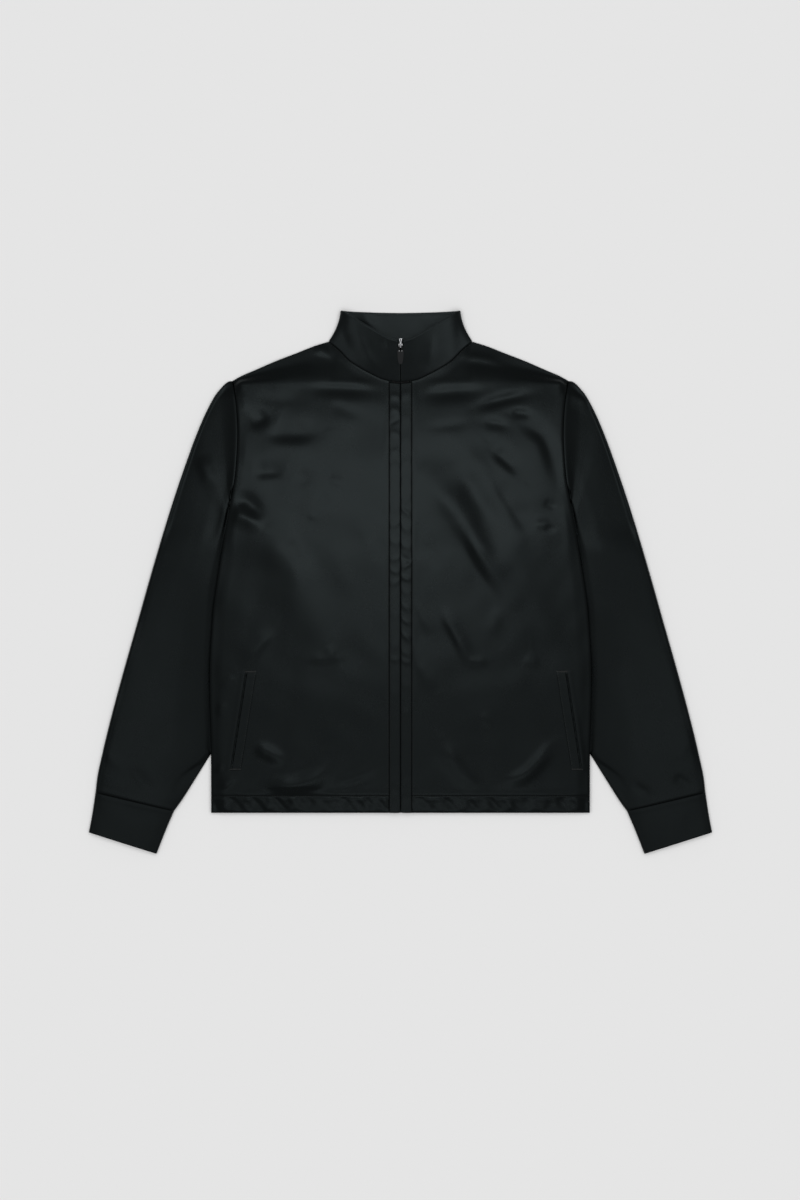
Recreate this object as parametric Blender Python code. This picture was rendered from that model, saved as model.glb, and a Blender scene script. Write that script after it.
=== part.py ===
"""Track jacket laid flat on its back: cut and sewn panels, collar, cuffs, zip and pull tab.

The frame is in metres. +X runs across the jacket, +Y runs up to the collar and +Z points
away from the surface that the jacket lies on. Tables and sizes below are in millimetres.
"""
import math

import bmesh
import bpy
import numpy as np
from mathutils import Matrix
from mathutils import Vector

MM = 0.001

# Walls and gaps
CLOTH = 1.2
COLLAR_WALL = 2.0
CUFF_WALL = 1.8
TAPE_WALL = 1.0
SEAM_GAP = 0.3
EDGE_GAP = 0.45

# Heights above the surface
BODY_LOFT = 9.0
TUCKED_SLEEVE = 3.0
SLEEVE_LOFT = 10.0
CUFF_LOFT = 9.0
LIFT = TUCKED_SLEEVE + SEAM_GAP

# Plan of the body
HEM_Y = -334.0
HEM_TURN = 24.4
HEM_STEP = 0.4
HEM_FOLD = 1.3
ARMPIT_Y = 111.0
SHOULDER_Y = 286.0
SHOULDER_X = 243.0
BAND_EDGE_X = 16.4
RAMP_WIDTH = 30.0
RAMP_MARGIN = 5.0
LIFT_LOW_Y = (-290.0, -252.0)
LIFT_HIGH_Y = (122.0, 140.0)
PLAN_SHIFT_Y = 0.95

# Side edge of the body, and the armhole seam above the armpit: y, x
SIDE_EDGE = (
    (-334.0, 273.3),
    (-250.0, 273.6),
    (-141.0, 276.0),
    (-55.0, 272.0),
    (28.0, 261.0),
    (111.0, 245.8),
)
ARMHOLE = (
    (111.0, 245.8),
    (158.0, 238.0),
    (215.0, 235.0),
    (264.0, 238.5),
    (286.0, 243.0),
)
# Seam points along the top of a front, from the band to the shoulder tip: x, y, low face z
FRONT_TOP = (
    (16.4, 289.5, 9.0),
    (24.7, 291.5, 9.0),
    (41.3, 299.0, 8.8),
    (59.6, 309.0, 8.2),
    (72.9, 318.0, 7.4),
    (89.6, 335.0, 4.9),
    (103.5, 346.5, 1.5),
    (124.0, 340.2, 1.5),
    (150.0, 330.0, 1.5),
    (180.0, 318.4, 1.5),
    (211.0, 306.0, 1.5),
    (231.0, 297.3, 1.5),
    (243.0, 286.0, 1.5),
)
# Seam points along the top of the back, from the middle to the shoulder tip: x, y
BACK_TOP = (
    (0.0, 335.6),
    (35.0, 336.2),
    (70.0, 338.8),
    (103.5, 346.5),
    (124.0, 340.2),
    (150.0, 330.0),
    (211.0, 306.0),
    (243.0, 286.0),
)
# Inner fold of the sleeve where it lies tucked under the body: y, x
TUCK_FOLD = (
    (-300.0, 306.0),
    (-248.5, 273.5),
    (-207.0, 246.0),
    (-167.0, 220.0),
    (-115.0, 187.0),
    (-55.0, 161.0),
    (-10.0, 150.0),
    (22.0, 151.0),
    (50.0, 159.0),
    (76.0, 176.0),
    (95.0, 200.0),
    (104.5, 224.0),
    (122.0, 240.0),
)
# Low face of a front along its outer edge: y, z
FRONT_EDGE = (
    (-334.0, 4.2),
    (-292.0, 4.2),
    (-252.0, 4.8),
    (60.0, 5.2),
    (122.0, 6.2),
    (150.0, 7.0),
    (205.0, 7.4),
    (262.0, 6.6),
    (286.0, 1.5),
)
# Shares of a front's width and of its upper rows where it starts to fall to its edges
ROLL_START = 0.70
SHOULDER_START = 0.74
# Shares of the width over which the folds fade in beside the band and out at the side
FOLD_IN = 0.15
FOLD_OUT = 0.75
# Rows of the panels above the armpit, along the armhole
ARMHOLE_ROWS = (122.0, 140.0, 160.0, 185.0, 212.0, 238.0, 262.0, 283.0, 286.0)
FRONT_ROWS = (
    -290.0, -266.5, -232.0, -198.0, -164.0, -130.0, -95.0, -60.0, -25.0, 10.0, 45.0, 80.0, 111.0,
)
BACK_ROWS = (
    -290.0, -252.0, -207.0, -167.0, -115.0, -55.0, -10.0, 22.0, 50.0, 76.0, 95.0, 104.5, 111.0,
)
# Heights over which a panel's columns turn from the lower cut to the cut of its top seam
FRONT_TURN_Y = (-60.0, 240.0)
BACK_TURN_Y = (122.0, 212.0)
# Rows of the bands above the fronts' rows, and how far their top follows the neck seam
BAND_ROWS = (150.0, 190.0, 230.0, 262.0, 286.9)
BAND_RISE = 1.9
# Pocket slits: side, then x at the top and at the bottom of the slit
POCKET_TOP_Y = -130.0
POCKET_END_Y = -266.5
WELT_WIDTH = 13.8
SLIT_X = {"left": (221.7, 243.0), "right": (238.5, 259.6)}

# Largest folds of the fronts: side, x and y of both ends, half width, height
FOLDS = (
    ("right", 40.0, 171.0, 164.0, -16.0, 20.0, 1.5),
    ("right", 160.0, 136.0, 199.0, 77.0, 18.0, 1.0),
    ("right", 67.0, -48.0, 107.0, -113.0, 18.0, 0.9),
    ("right", 75.0, -261.0, 122.0, -303.0, 16.0, 0.8),
    ("left", 178.0, 58.0, 107.0, -71.0, 22.0, 1.4),
    ("left", 192.0, 150.0, 120.0, 205.0, 18.0, 1.0),
    ("left", 180.0, -75.0, 215.0, -110.0, 18.0, 0.8),
    ("left", 185.0, -282.0, 111.0, -268.0, 16.0, 0.9),
)

# Outer line of the sleeve from the shoulder tip to the cuff: y, x
SLEEVE_OUTER = (
    (-304.5, 440.6),
    (-288.6, 438.9),
    (-245.0, 430.0),
    (-158.0, 408.0),
    (-71.0, 383.5),
    (16.0, 358.9),
    (103.0, 332.8),
    (168.0, 311.0),
    (211.7, 295.0),
    (245.0, 280.6),
    (262.5, 270.4),
    (279.9, 256.0),
    (286.0, 243.0),
)
# Sections of the sleeve: y on the outer line, y where it passes under the body's side,
# x and y on the inner fold, and the share of the section that lies tucked
SLEEVE_SECTIONS = (
    (274.0, 107.5, 224.0, 104.5, 1.0),
    (252.0, 100.0, 200.0, 95.0, 1.0),
    (214.0, 87.0, 176.0, 76.0, 1.0),
    (168.0, 70.0, 159.0, 50.0, 1.0),
    (120.0, 50.0, 151.0, 22.0, 1.0),
    (60.0, 22.0, 150.0, -10.0, 1.0),
    (0.0, -34.0, 161.0, -55.0, 1.0),
    (-60.0, -95.0, 187.0, -115.0, 1.0),
    (-115.0, -151.0, 220.0, -167.0, 1.0),
    (-160.0, -201.0, 246.0, -207.0, 1.0),
    (-205.0, -246.0, 273.5, -248.5, 1.0),
    (-250.0, -287.0, 300.0, -291.0, 0.3),
    (-285.0, -316.0, 317.5, -318.5, 0.0),
    (-304.5, -329.0, 327.0, -331.5, 0.0),
)
# Height of the sleeve's upper face across a section, as a share of its loft
FREE_PROFILE = (0.60, 0.60, 0.80, 0.90, 0.96, 1.0, 1.0, 1.0, 0.96, 0.86, 0.60, 0.60)
TUCKED_PROFILE = (0.30, 0.30, 0.30, 0.30, 0.70, 0.92, 1.0, 1.0, 0.96, 0.86, 0.60, 0.60)
FOLD_INSET = 3.0
# Where the sleeve has risen beside the body, and where it starts to roll to its outer fold
SLEEVE_RISE = 8.0
SLEEVE_ROLL = 12.0
HIDDEN_SHARE = 0.6
FREE_STOPS = (0.2, 0.4, 0.6, 0.8)
FREE_CROSS_SHARE = 0.12
SIDE_CLEARANCE = 1.2
# The sleeve is flatter near the cuff and near the shoulder tip: y from and to, last share
CUFF_TAPER_Y = (-304.5, -244.5)
CAP_TAPER_Y = (200.0, 274.0)
CAP_SHARE = 0.8
# Cuff ends: x and y of the outer and inner corners
CUFF_LINES = (
    (440.7, -305.0, 327.3, -332.0),
    (445.7, -338.0, 339.5, -360.5),
    (450.3, -362.2, 352.3, -393.2),
)

# Stations of the collar from the front's middle round to the back's middle:
# seam x, y, z and rim x, y, z, all on the middle of the wall
COLLAR_STATIONS = (
    (0.4, 287.5, 9.6, 0.4, 348.0, 17.0),
    (16.4, 289.5, 9.6, 16.0, 351.8, 17.2),
    (24.7, 291.5, 9.6, 25.0, 356.6, 17.2),
    (41.3, 299.0, 9.4, 43.6, 367.2, 17.0),
    (59.6, 309.0, 8.8, 61.0, 377.6, 16.2),
    (72.9, 318.0, 8.0, 71.8, 384.2, 14.8),
    (89.6, 335.0, 5.9, 80.6, 389.6, 12.0),
    (100.0, 343.6, 4.3, 84.6, 391.0, 9.2),
    (103.5, 346.5, 2.9, 85.8, 391.2, 6.6),
    (100.0, 345.7, 1.5, 84.4, 391.1, 4.0),
    (88.0, 342.9, 1.05, 78.0, 390.6, 2.0),
    (70.0, 338.8, 1.0, 62.0, 389.6, 1.3),
    (35.0, 336.2, 1.0, 31.0, 388.5, 1.0),
    (0.0, 335.6, 1.0, 0.0, 388.0, 1.0),
)
COLLAR_SHARES = (0.0, 0.2, 0.4, 0.58, 0.72, 0.81, 0.9, 1.0)
COLLAR_WAIST = 3.6
COLLAR_FOLD_X = (72.0, 103.5)
SLIDER_HALF_GAP = 3.5
SLIDER_SHARES = (0.72, 0.81)

# Zip: tape plan, and its top face along the middle front: y, z
TAPE_X = (0.9, 13.0)
TAPE_TOP = (
    (-329.0, 8.7),
    (270.0, 8.7),
    (287.0, 8.1),
    (345.5, 15.3),
)
TAPE_ROWS = (-329.0, -200.0, -70.0, 60.0, 180.0, 255.0, 270.0, 279.0, 287.0, 306.0, 326.0, 345.5)
NOTCH_HEIGHT = 3.4
NOTCH_HALF = 2.6
BAND_INNER_X = 0.4

# Slider, in its own frame: y runs up the zip, z is up from the top of its upper plate
SLIDER_Y = 343.2
SLIDER_Z = 17.35
SLIDER_TILT = math.radians(7.0)
PLATE_LENGTH = 12.6
PLATE_THICK = 1.8
PLATE_WIDE = 6.0
PLATE_NARROW = 4.2
LOWER_PLATE_TOP = -3.7
LOWER_PLATE_THICK = 0.9
NECK_WIDTH = 1.0
NECK_LENGTH = 1.2
BRIDGE_WIDTH = 1.6
BRIDGE_Y = (-6.0, 0.7)
BRIDGE_LEG = 1.0
BRIDGE_TOP = 3.0
BRIDGE_BAR = 0.8
# How far the slider's pieces run into each other, and the lower plate's ends set back
OVERLAP = 0.4
BAR_INSET = 0.3
LOWER_SETBACK = (0.6, 0.3)

# Pull tab, from its pivot
PIVOT_Y = -3.9
PIVOT_Z = 1.2
BAR_RADIUS = 0.55
ARM_X = (1.5, 2.6)
TAB_START = 6.4
TAB_LENGTH = 19.4
TAB_WIDTHS = (9.2, 8.2, 5.6)
TAB_THICK = 1.2
ARM_THICK = 1.0
ARM_REACH = 0.4
ARM_OVERLAP = 0.8
TAB_BEND_SHARE = 0.55
TAB_CORNER = 1.2
BAR_SIDES = 12


def smooth(table, value, key=0, out=1):
    """Read a short table as a smooth curve that never overshoots its points."""
    rows = sorted(table, key=lambda row: row[key])
    xs = np.array([row[key] for row in rows])
    ys = np.array([row[out] for row in rows])
    value = min(max(value, xs[0]), xs[-1])
    step = np.diff(xs)
    slope = np.diff(ys) / step
    tangent = np.zeros(len(xs))
    tangent[0] = slope[0]
    tangent[-1] = slope[-1]
    for i in range(1, len(xs) - 1):
        if slope[i - 1] * slope[i] > 0.0:
            near = 2.0 * step[i] + step[i - 1]
            far = step[i] + 2.0 * step[i - 1]
            tangent[i] = (near + far) / (near / slope[i - 1] + far / slope[i])
    i = min(int(np.searchsorted(xs, value, side="right")) - 1, len(step) - 1)
    t = (value - xs[i]) / step[i]
    start = ys[i] * (1.0 + 2.0 * t) * (1.0 - t) ** 2
    start += tangent[i] * step[i] * t * (1.0 - t) ** 2
    end = ys[i + 1] * t * t * (3.0 - 2.0 * t)
    end -= tangent[i + 1] * step[i] * t * t * (1.0 - t)
    return float(start + end)


def ease(value):
    """Rise smoothly from 0 to 1."""
    value = min(max(value, 0.0), 1.0)
    return value * value * (3.0 - 2.0 * value)


def mix(a, b, share):
    return a + (b - a) * share


def material(name, color, roughness, metallic=0.0):
    made = bpy.data.materials.new(name)
    made.use_nodes = True
    shader = made.node_tree.nodes["Principled BSDF"]
    shader.inputs["Base Color"].default_value = (*color, 1.0)
    shader.inputs["Roughness"].default_value = roughness
    shader.inputs["Metallic"].default_value = metallic
    return made


def add_object(name, bm, finish):
    """Turn a bmesh in millimetres into a named object in metres."""
    bmesh.ops.recalc_face_normals(bm, faces=bm.faces)
    bmesh.ops.transform(bm, matrix=Matrix.Scale(MM, 4), verts=bm.verts)
    mesh = bpy.data.meshes.new(name)
    bm.to_mesh(mesh)
    bm.free()
    obj = bpy.data.objects.new(name, mesh)
    bpy.context.scene.collection.objects.link(obj)
    mesh.materials.append(finish)
    mesh.shade_smooth()
    mesh.set_sharp_from_angle(angle=math.radians(40.0))
    return obj


def wall(name, upper, lower, finish, tube=False):
    """Close two matching grids of points into one wall; a tube's rows are rings."""
    bm = bmesh.new()
    rows = len(upper)
    columns = len(upper[0])
    top = [[bm.verts.new((x, y + PLAN_SHIFT_Y, z)) for x, y, z in row] for row in upper]
    low = [[bm.verts.new((x, y + PLAN_SHIFT_Y, z)) for x, y, z in row] for row in lower]
    spans = columns if tube else columns - 1
    for i in range(rows - 1):
        for j in range(spans):
            k = (j + 1) % columns
            bm.faces.new((top[i][j], top[i][k], top[i + 1][k], top[i + 1][j]))
            bm.faces.new((low[i][j], low[i + 1][j], low[i + 1][k], low[i][k]))
    for i in (0, rows - 1):
        for j in range(spans):
            k = (j + 1) % columns
            bm.faces.new((top[i][j], low[i][j], low[i][k], top[i][k]))
    if not tube:
        for j in (0, columns - 1):
            for i in range(rows - 1):
                bm.faces.new((top[i][j], top[i + 1][j], low[i + 1][j], low[i][j]))
    return add_object(name, bm, finish)


def mirrored(grid):
    return [[(-x, y, z) for x, y, z in row] for row in grid]


def raised(grid, height):
    return [[(x, y, z + height) for x, y, z in row] for row in grid]


def side_x(y):
    """Outer edge of a body panel: the side below the armpit, the armhole above it."""
    if y <= ARMPIT_Y:
        return smooth(SIDE_EDGE, y)
    return smooth(ARMHOLE, y)


def hem_rows():
    line = HEM_Y + HEM_TURN
    return [HEM_Y, line - HEM_STEP, line]


def hem_depth(y):
    """Extra thickness of the turned hem."""
    return HEM_FOLD if y < HEM_Y + HEM_TURN - 0.5 * HEM_STEP else 0.0


def fold_height(side, x, y):
    """Height of the largest folds at a point of a front."""
    total = 0.0
    for row_side, x0, y0, x1, y1, half_width, height in FOLDS:
        if row_side != side:
            continue
        along = Vector((x1 - x0, y1 - y0))
        offset = Vector((x - x0, y - y0))
        share = min(max(offset.dot(along) / along.length_squared, 0.0), 1.0)
        distance = (offset - share * along).length
        total += height * math.exp(-((distance / half_width) ** 2))
    return total


def front_low(side, x, y, row_share, top_z, inner_x, outer_x):
    """Low face of a front: lofted in the middle, down on its neighbours at the edges."""
    across = (x - inner_x) / (outer_x - inner_x)
    edge_y = y if row_share <= 0.0 else ARMPIT_Y + row_share * (SHOULDER_Y - ARMPIT_Y)
    roll = ease((across - ROLL_START) / (1.0 - ROLL_START))
    z = mix(BODY_LOFT, smooth(FRONT_EDGE, edge_y), roll)
    fade = ease(across / FOLD_IN) * (1.0 - ease((across - FOLD_OUT) / (1.0 - FOLD_OUT)))
    z += fold_height(side, x, y) * fade
    return mix(z, top_z, ease((row_share - SHOULDER_START) / (1.0 - SHOULDER_START)))


def front_grid(side):
    """Points of a front's low face, rows up from the hem and columns out from the band."""
    slit_top, slit_end = SLIT_X[side]
    last = len(FRONT_TOP) - 1
    top_shares = [(row[0] - BAND_EDGE_X) / (SHOULDER_X - BAND_EDGE_X) for row in FRONT_TOP]
    grid = []
    for y in hem_rows() + list(FRONT_ROWS) + list(ARMHOLE_ROWS):
        row_share = max(0.0, (y - ARMPIT_Y) / (SHOULDER_Y - ARMPIT_Y))
        outer = side_x(y)
        down = min(max((POCKET_TOP_Y - y) / (POCKET_TOP_Y - POCKET_END_Y), -0.5), 1.2)
        slit = mix(slit_top, slit_end, down)
        welt = slit - WELT_WIDTH
        low_xs = [mix(BAND_EDGE_X, welt, j / (last - 2)) for j in range(last - 1)] + [slit, outer]
        turn = ease((y - FRONT_TURN_Y[0]) / (FRONT_TURN_Y[1] - FRONT_TURN_Y[0]))
        row = []
        for j, (_, top_y, top_z) in enumerate(FRONT_TOP):
            x = mix(low_xs[j], mix(BAND_EDGE_X, outer, top_shares[j]), turn)
            point_y = y if row_share <= 0.0 else mix(ARMPIT_Y, top_y, row_share)
            z = front_low(side, x, point_y, row_share, top_z, BAND_EDGE_X, outer)
            row.append((x, point_y, z))
        grid.append(row)
    return grid


def lift_at(x, y):
    """Height of the back panel where it passes over the tucked sleeve."""
    start = smooth(TUCK_FOLD, y) - RAMP_MARGIN - RAMP_WIDTH
    share = ease((x - start) / RAMP_WIDTH)
    below = ease((y - LIFT_LOW_Y[0]) / (LIFT_LOW_Y[1] - LIFT_LOW_Y[0]))
    above = 1.0 - ease((y - LIFT_HIGH_Y[0]) / (LIFT_HIGH_Y[1] - LIFT_HIGH_Y[0]))
    return LIFT * share * below * above


def back_half_row(y):
    """Half a row of the back panel's low face, from the middle out."""
    outer = side_x(y)
    row_share = max(0.0, (y - ARMPIT_Y) / (SHOULDER_Y - ARMPIT_Y))
    ramp_end = min(smooth(TUCK_FOLD, y) - RAMP_MARGIN, outer - 8.0)
    ramp_start = ramp_end - RAMP_WIDTH
    low_xs = [
        0.0,
        ramp_start / 3.0,
        ramp_start / 1.5,
        ramp_start,
        ramp_end - 0.5 * RAMP_WIDTH,
        ramp_end,
        0.5 * (ramp_end + outer),
        outer,
    ]
    turn = ease((y - BACK_TURN_Y[0]) / (BACK_TURN_Y[1] - BACK_TURN_Y[0]))
    row = []
    for j, (top_x, top_y) in enumerate(BACK_TOP):
        x = mix(low_xs[j], top_x / SHOULDER_X * outer, turn)
        point_y = y if row_share <= 0.0 else mix(ARMPIT_Y, top_y, row_share)
        row.append((x, point_y, lift_at(x, point_y)))
    return row


def build_back(finish):
    rows = hem_rows() + list(BACK_ROWS) + list(ARMHOLE_ROWS)
    lower = []
    for y in rows:
        half = back_half_row(y)
        lower.append([(-x, v, z) for x, v, z in reversed(half[1:])] + half)
    upper = []
    for y, row in zip(rows, lower):
        upper.append([(x, v, z + CLOTH + hem_depth(y)) for x, v, z in row])
    wall("back_panel", upper, lower, finish)


def build_fronts(finish, welt_finish):
    rows = hem_rows() + list(FRONT_ROWS) + list(ARMHOLE_ROWS)
    first = rows.index(POCKET_END_Y)
    last = rows.index(POCKET_TOP_Y)
    for side in ("left", "right"):
        base = front_grid(side)
        base = base if side == "right" else mirrored(base)
        lower = [[(x, v, z - hem_depth(y)) for x, v, z in row] for y, row in zip(rows, base)]
        upper = raised(base, CLOTH)
        wall(side + "_front", upper, lower, finish)
        welt = [row[-3:-1] for row in upper[first:last + 1]]
        welt_low = raised(welt, SEAM_GAP)
        wall(side + "_pocket_welt", raised(welt_low, CLOTH), welt_low, welt_finish)


def band_inner_x(y):
    """Inner edge of a front band, opening into a small notch at the hem."""
    return mix(NOTCH_HALF, BAND_INNER_X, ease((y - HEM_Y) / NOTCH_HEIGHT))


def build_bands(finish):
    """The narrow strips beside the zip, on the same rows as the fronts."""
    outer = BAND_EDGE_X - SEAM_GAP
    rows = [HEM_Y, HEM_Y + 0.5 * NOTCH_HEIGHT, HEM_Y + NOTCH_HEIGHT]
    rows += list(FRONT_ROWS) + list(BAND_ROWS)
    lower = []
    for y in rows:
        top = ease((y - BAND_ROWS[-2]) / (BAND_ROWS[-1] - BAND_ROWS[-2]))
        inner = band_inner_x(y)
        row = []
        for share in (0.0, 0.5, 1.0):
            x = mix(inner, outer, share)
            row.append((x, y + top * share * BAND_RISE, BODY_LOFT))
        lower.append(row)
    for side in ("left", "right"):
        base = lower if side == "right" else mirrored(lower)
        wall(side + "_front_band", raised(base, CLOTH), base, finish)


def section_line(outer, cross, inner):
    """Twelve points from the inner fold, by the body's side, to the outer fold."""
    outer = Vector(outer)
    cross = Vector(cross)
    inner = Vector(inner)
    hidden = (cross - inner).length
    inset = min(FOLD_INSET, 0.35 * hidden)
    points = [inner, inner.lerp(cross, inset / hidden), inner.lerp(cross, HIDDEN_SHARE), cross]
    free = (outer - cross).length
    roll = free - SLEEVE_ROLL
    stops = [SLEEVE_RISE] + [mix(SLEEVE_RISE, roll, share) for share in FREE_STOPS]
    stops += [roll, free - FOLD_INSET, free]
    points += [cross.lerp(outer, stop / free) for stop in stops]
    return points


def armhole_section():
    """The sleeve's end at the armhole, level with the edges of the body panels."""
    heights = []
    points = []
    for y in (ARMPIT_Y, 114.0, 118.0) + ARMHOLE_ROWS:
        points.append(Vector((smooth(ARMHOLE, y) + EDGE_GAP, y)))
        tucked = y <= ARMHOLE_ROWS[0]
        heights.append(TUCKED_SLEEVE if tucked else smooth(FRONT_EDGE, y) + CLOTH)
    return points, heights


def ring_pair(points, heights, thickness):
    """Outer and inner rings of a flattened tube whose underside is flat on z = 0."""
    last = len(points) - 1
    first_in = points[0] + (points[1] - points[0]).normalized() * thickness
    last_in = points[last] + (points[last - 1] - points[last]).normalized() * thickness
    outer = [(*points[0], 0.5 * heights[0])]
    inner = [(*first_in, 0.5 * heights[0])]
    for k in range(1, last):
        outer.append((*points[k], heights[k]))
        inner.append((*points[k], heights[k] - thickness))
    outer.append((*points[last], 0.5 * heights[last]))
    inner.append((*last_in, 0.5 * heights[last]))
    for k in range(last - 1, 0, -1):
        outer.append((*points[k], 0.0))
        inner.append((*points[k], thickness))
    return outer, inner


def build_tube(name, sections, thickness, finish, side):
    rings = [ring_pair(points, heights, thickness) for points, heights in sections]
    outer = [ring[0] for ring in rings]
    inner = [ring[1] for ring in rings]
    if side == "left":
        outer = mirrored(outer)
        inner = mirrored(inner)
    wall(name, outer, inner, finish, tube=True)


def sleeve_sections():
    sections = [armhole_section()]
    for outer_y, cross_y, inner_x, inner_y, tucked in SLEEVE_SECTIONS:
        outer = (smooth(SLEEVE_OUTER, outer_y), outer_y)
        if tucked >= 1.0:
            cross = (side_x(cross_y) + SIDE_CLEARANCE, cross_y)
        else:
            cross = Vector((inner_x, inner_y)).lerp(Vector(outer), FREE_CROSS_SHARE)
        points = section_line(outer, cross, (inner_x, inner_y))
        rise = (outer_y - CUFF_TAPER_Y[0]) / (CUFF_TAPER_Y[1] - CUFF_TAPER_Y[0])
        drop = (outer_y - CAP_TAPER_Y[0]) / (CAP_TAPER_Y[1] - CAP_TAPER_Y[0])
        loft = mix(CUFF_LOFT, SLEEVE_LOFT, ease(rise)) * mix(1.0, CAP_SHARE, ease(drop))
        heights = [
            loft * mix(free, flat, tucked) for free, flat in zip(FREE_PROFILE, TUCKED_PROFILE)
        ]
        if tucked >= 1.0:
            heights[:4] = [TUCKED_SLEEVE] * 4
        sections.append((points, heights))
    return sections


def cuff_sections():
    sections = []
    for outer_x, outer_y, inner_x, inner_y in CUFF_LINES:
        outer = Vector((outer_x, outer_y))
        inner = Vector((inner_x, inner_y))
        points = section_line(outer, inner.lerp(outer, FREE_CROSS_SHARE), inner)
        sections.append((points, [CUFF_LOFT * share for share in FREE_PROFILE]))
    return sections


def build_sleeves(finish, cuff_finish):
    for side in ("left", "right"):
        build_tube(side + "_sleeve", sleeve_sections(), CLOTH, finish, side)
        build_tube(side + "_cuff", cuff_sections(), CUFF_WALL, cuff_finish, side)


def seam_normals(stations):
    """Unit vectors from the neck seam into the collar, in plan."""
    points = [Vector(row[:2]) for row in stations]
    normals = []
    for i, row in enumerate(stations):
        toward_rim = Vector(row[3:5]) - points[i]
        before = points[max(i - 1, 0)]
        after = points[min(i + 1, len(points) - 1)]
        along = (after - before).normalized()
        normal = Vector((-along.y, along.x))
        if normal.dot(toward_rim) < 0.0:
            normal.negate()
        normals.append(normal)
    return normals


def collar_half():
    """Middle of the collar wall, from the front's middle round to the back's middle."""
    grid = []
    normals = seam_normals(COLLAR_STATIONS)
    for i, (sx, sy, sz, rx, ry, rz) in enumerate(COLLAR_STATIONS):
        start = Vector((sx, sy)) + EDGE_GAP * normals[i]
        bend = ease((sx - COLLAR_FOLD_X[0]) / (COLLAR_FOLD_X[1] - COLLAR_FOLD_X[0]))
        row = []
        for share in COLLAR_SHARES:
            x = mix(start.x, rx, share) - COLLAR_WAIST * bend * 4.0 * share * (1.0 - share)
            if i == 0:
                opening = ease((share - SLIDER_SHARES[0]) / (SLIDER_SHARES[1] - SLIDER_SHARES[0]))
                x = mix(sx, SLIDER_HALF_GAP, opening)
            row.append(Vector((x, mix(start.y, ry, share), mix(sz, rz, share))))
        grid.append(row)
    return grid


def offset_wall(name, middle, thickness, finish):
    """A wall of even thickness about a grid of points."""
    rows = len(middle)
    columns = len(middle[0])
    upper = []
    lower = []
    for i in range(rows):
        upper_row = []
        lower_row = []
        for j in range(columns):
            along = middle[min(i + 1, rows - 1)][j] - middle[max(i - 1, 0)][j]
            across = middle[i][min(j + 1, columns - 1)] - middle[i][max(j - 1, 0)]
            normal = along.cross(across).normalized() * 0.5 * thickness
            upper_row.append(tuple(middle[i][j] + normal))
            lower_row.append(tuple(middle[i][j] - normal))
        upper.append(upper_row)
        lower.append(lower_row)
    wall(name, upper, lower, finish)


def build_collar(finish):
    half = collar_half()
    other = [[Vector((-p.x, p.y, p.z)) for p in row] for row in reversed(half[:-1])]
    offset_wall("collar", half + other, COLLAR_WALL, finish)


def build_tapes(finish):
    upper = []
    for y in TAPE_ROWS:
        z = float(np.interp(y, [row[0] for row in TAPE_TOP], [row[1] for row in TAPE_TOP]))
        upper.append([(mix(*TAPE_X, share), y, z) for share in (0.0, 0.5, 1.0)])
    for side in ("left", "right"):
        top = upper if side == "right" else mirrored(upper)
        wall(side + "_zip_tape", top, raised(top, -TAPE_WALL), finish)


def box(bm, low, high):
    """Add a box between two corners and return its points."""
    made = bmesh.ops.create_cube(bm, size=1.0)["verts"]
    size = [b - a for a, b in zip(low, high)]
    middle = [0.5 * (a + b) for a, b in zip(low, high)]
    bmesh.ops.scale(bm, vec=size, verts=made)
    bmesh.ops.translate(bm, vec=middle, verts=made)
    return made


def bar_piece(name, low, high, finish):
    bm = bmesh.new()
    box(bm, low, high)
    return add_object(name, bm, finish)


def unite(base, others):
    """Join touching pieces into one closed body and drop the helpers."""
    for other in others:
        joint = base.modifiers.new("join_" + other.name, "BOOLEAN")
        joint.operation = "UNION"
        joint.solver = "EXACT"
        joint.object = other
    bpy.context.view_layer.update()
    graph = bpy.context.evaluated_depsgraph_get()
    joined = bpy.data.meshes.new_from_object(base.evaluated_get(graph))
    base.modifiers.clear()
    base.data = joined
    for other in others:
        bpy.data.objects.remove(other, do_unlink=True)
    return base


def slider_frame():
    """From the slider's own frame to the jacket's, in metres."""
    place = Vector((0.0, SLIDER_Y + PLAN_SHIFT_Y, SLIDER_Z)) * MM
    return Matrix.Translation(place) @ Matrix.Rotation(SLIDER_TILT, 4, "X")


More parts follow.
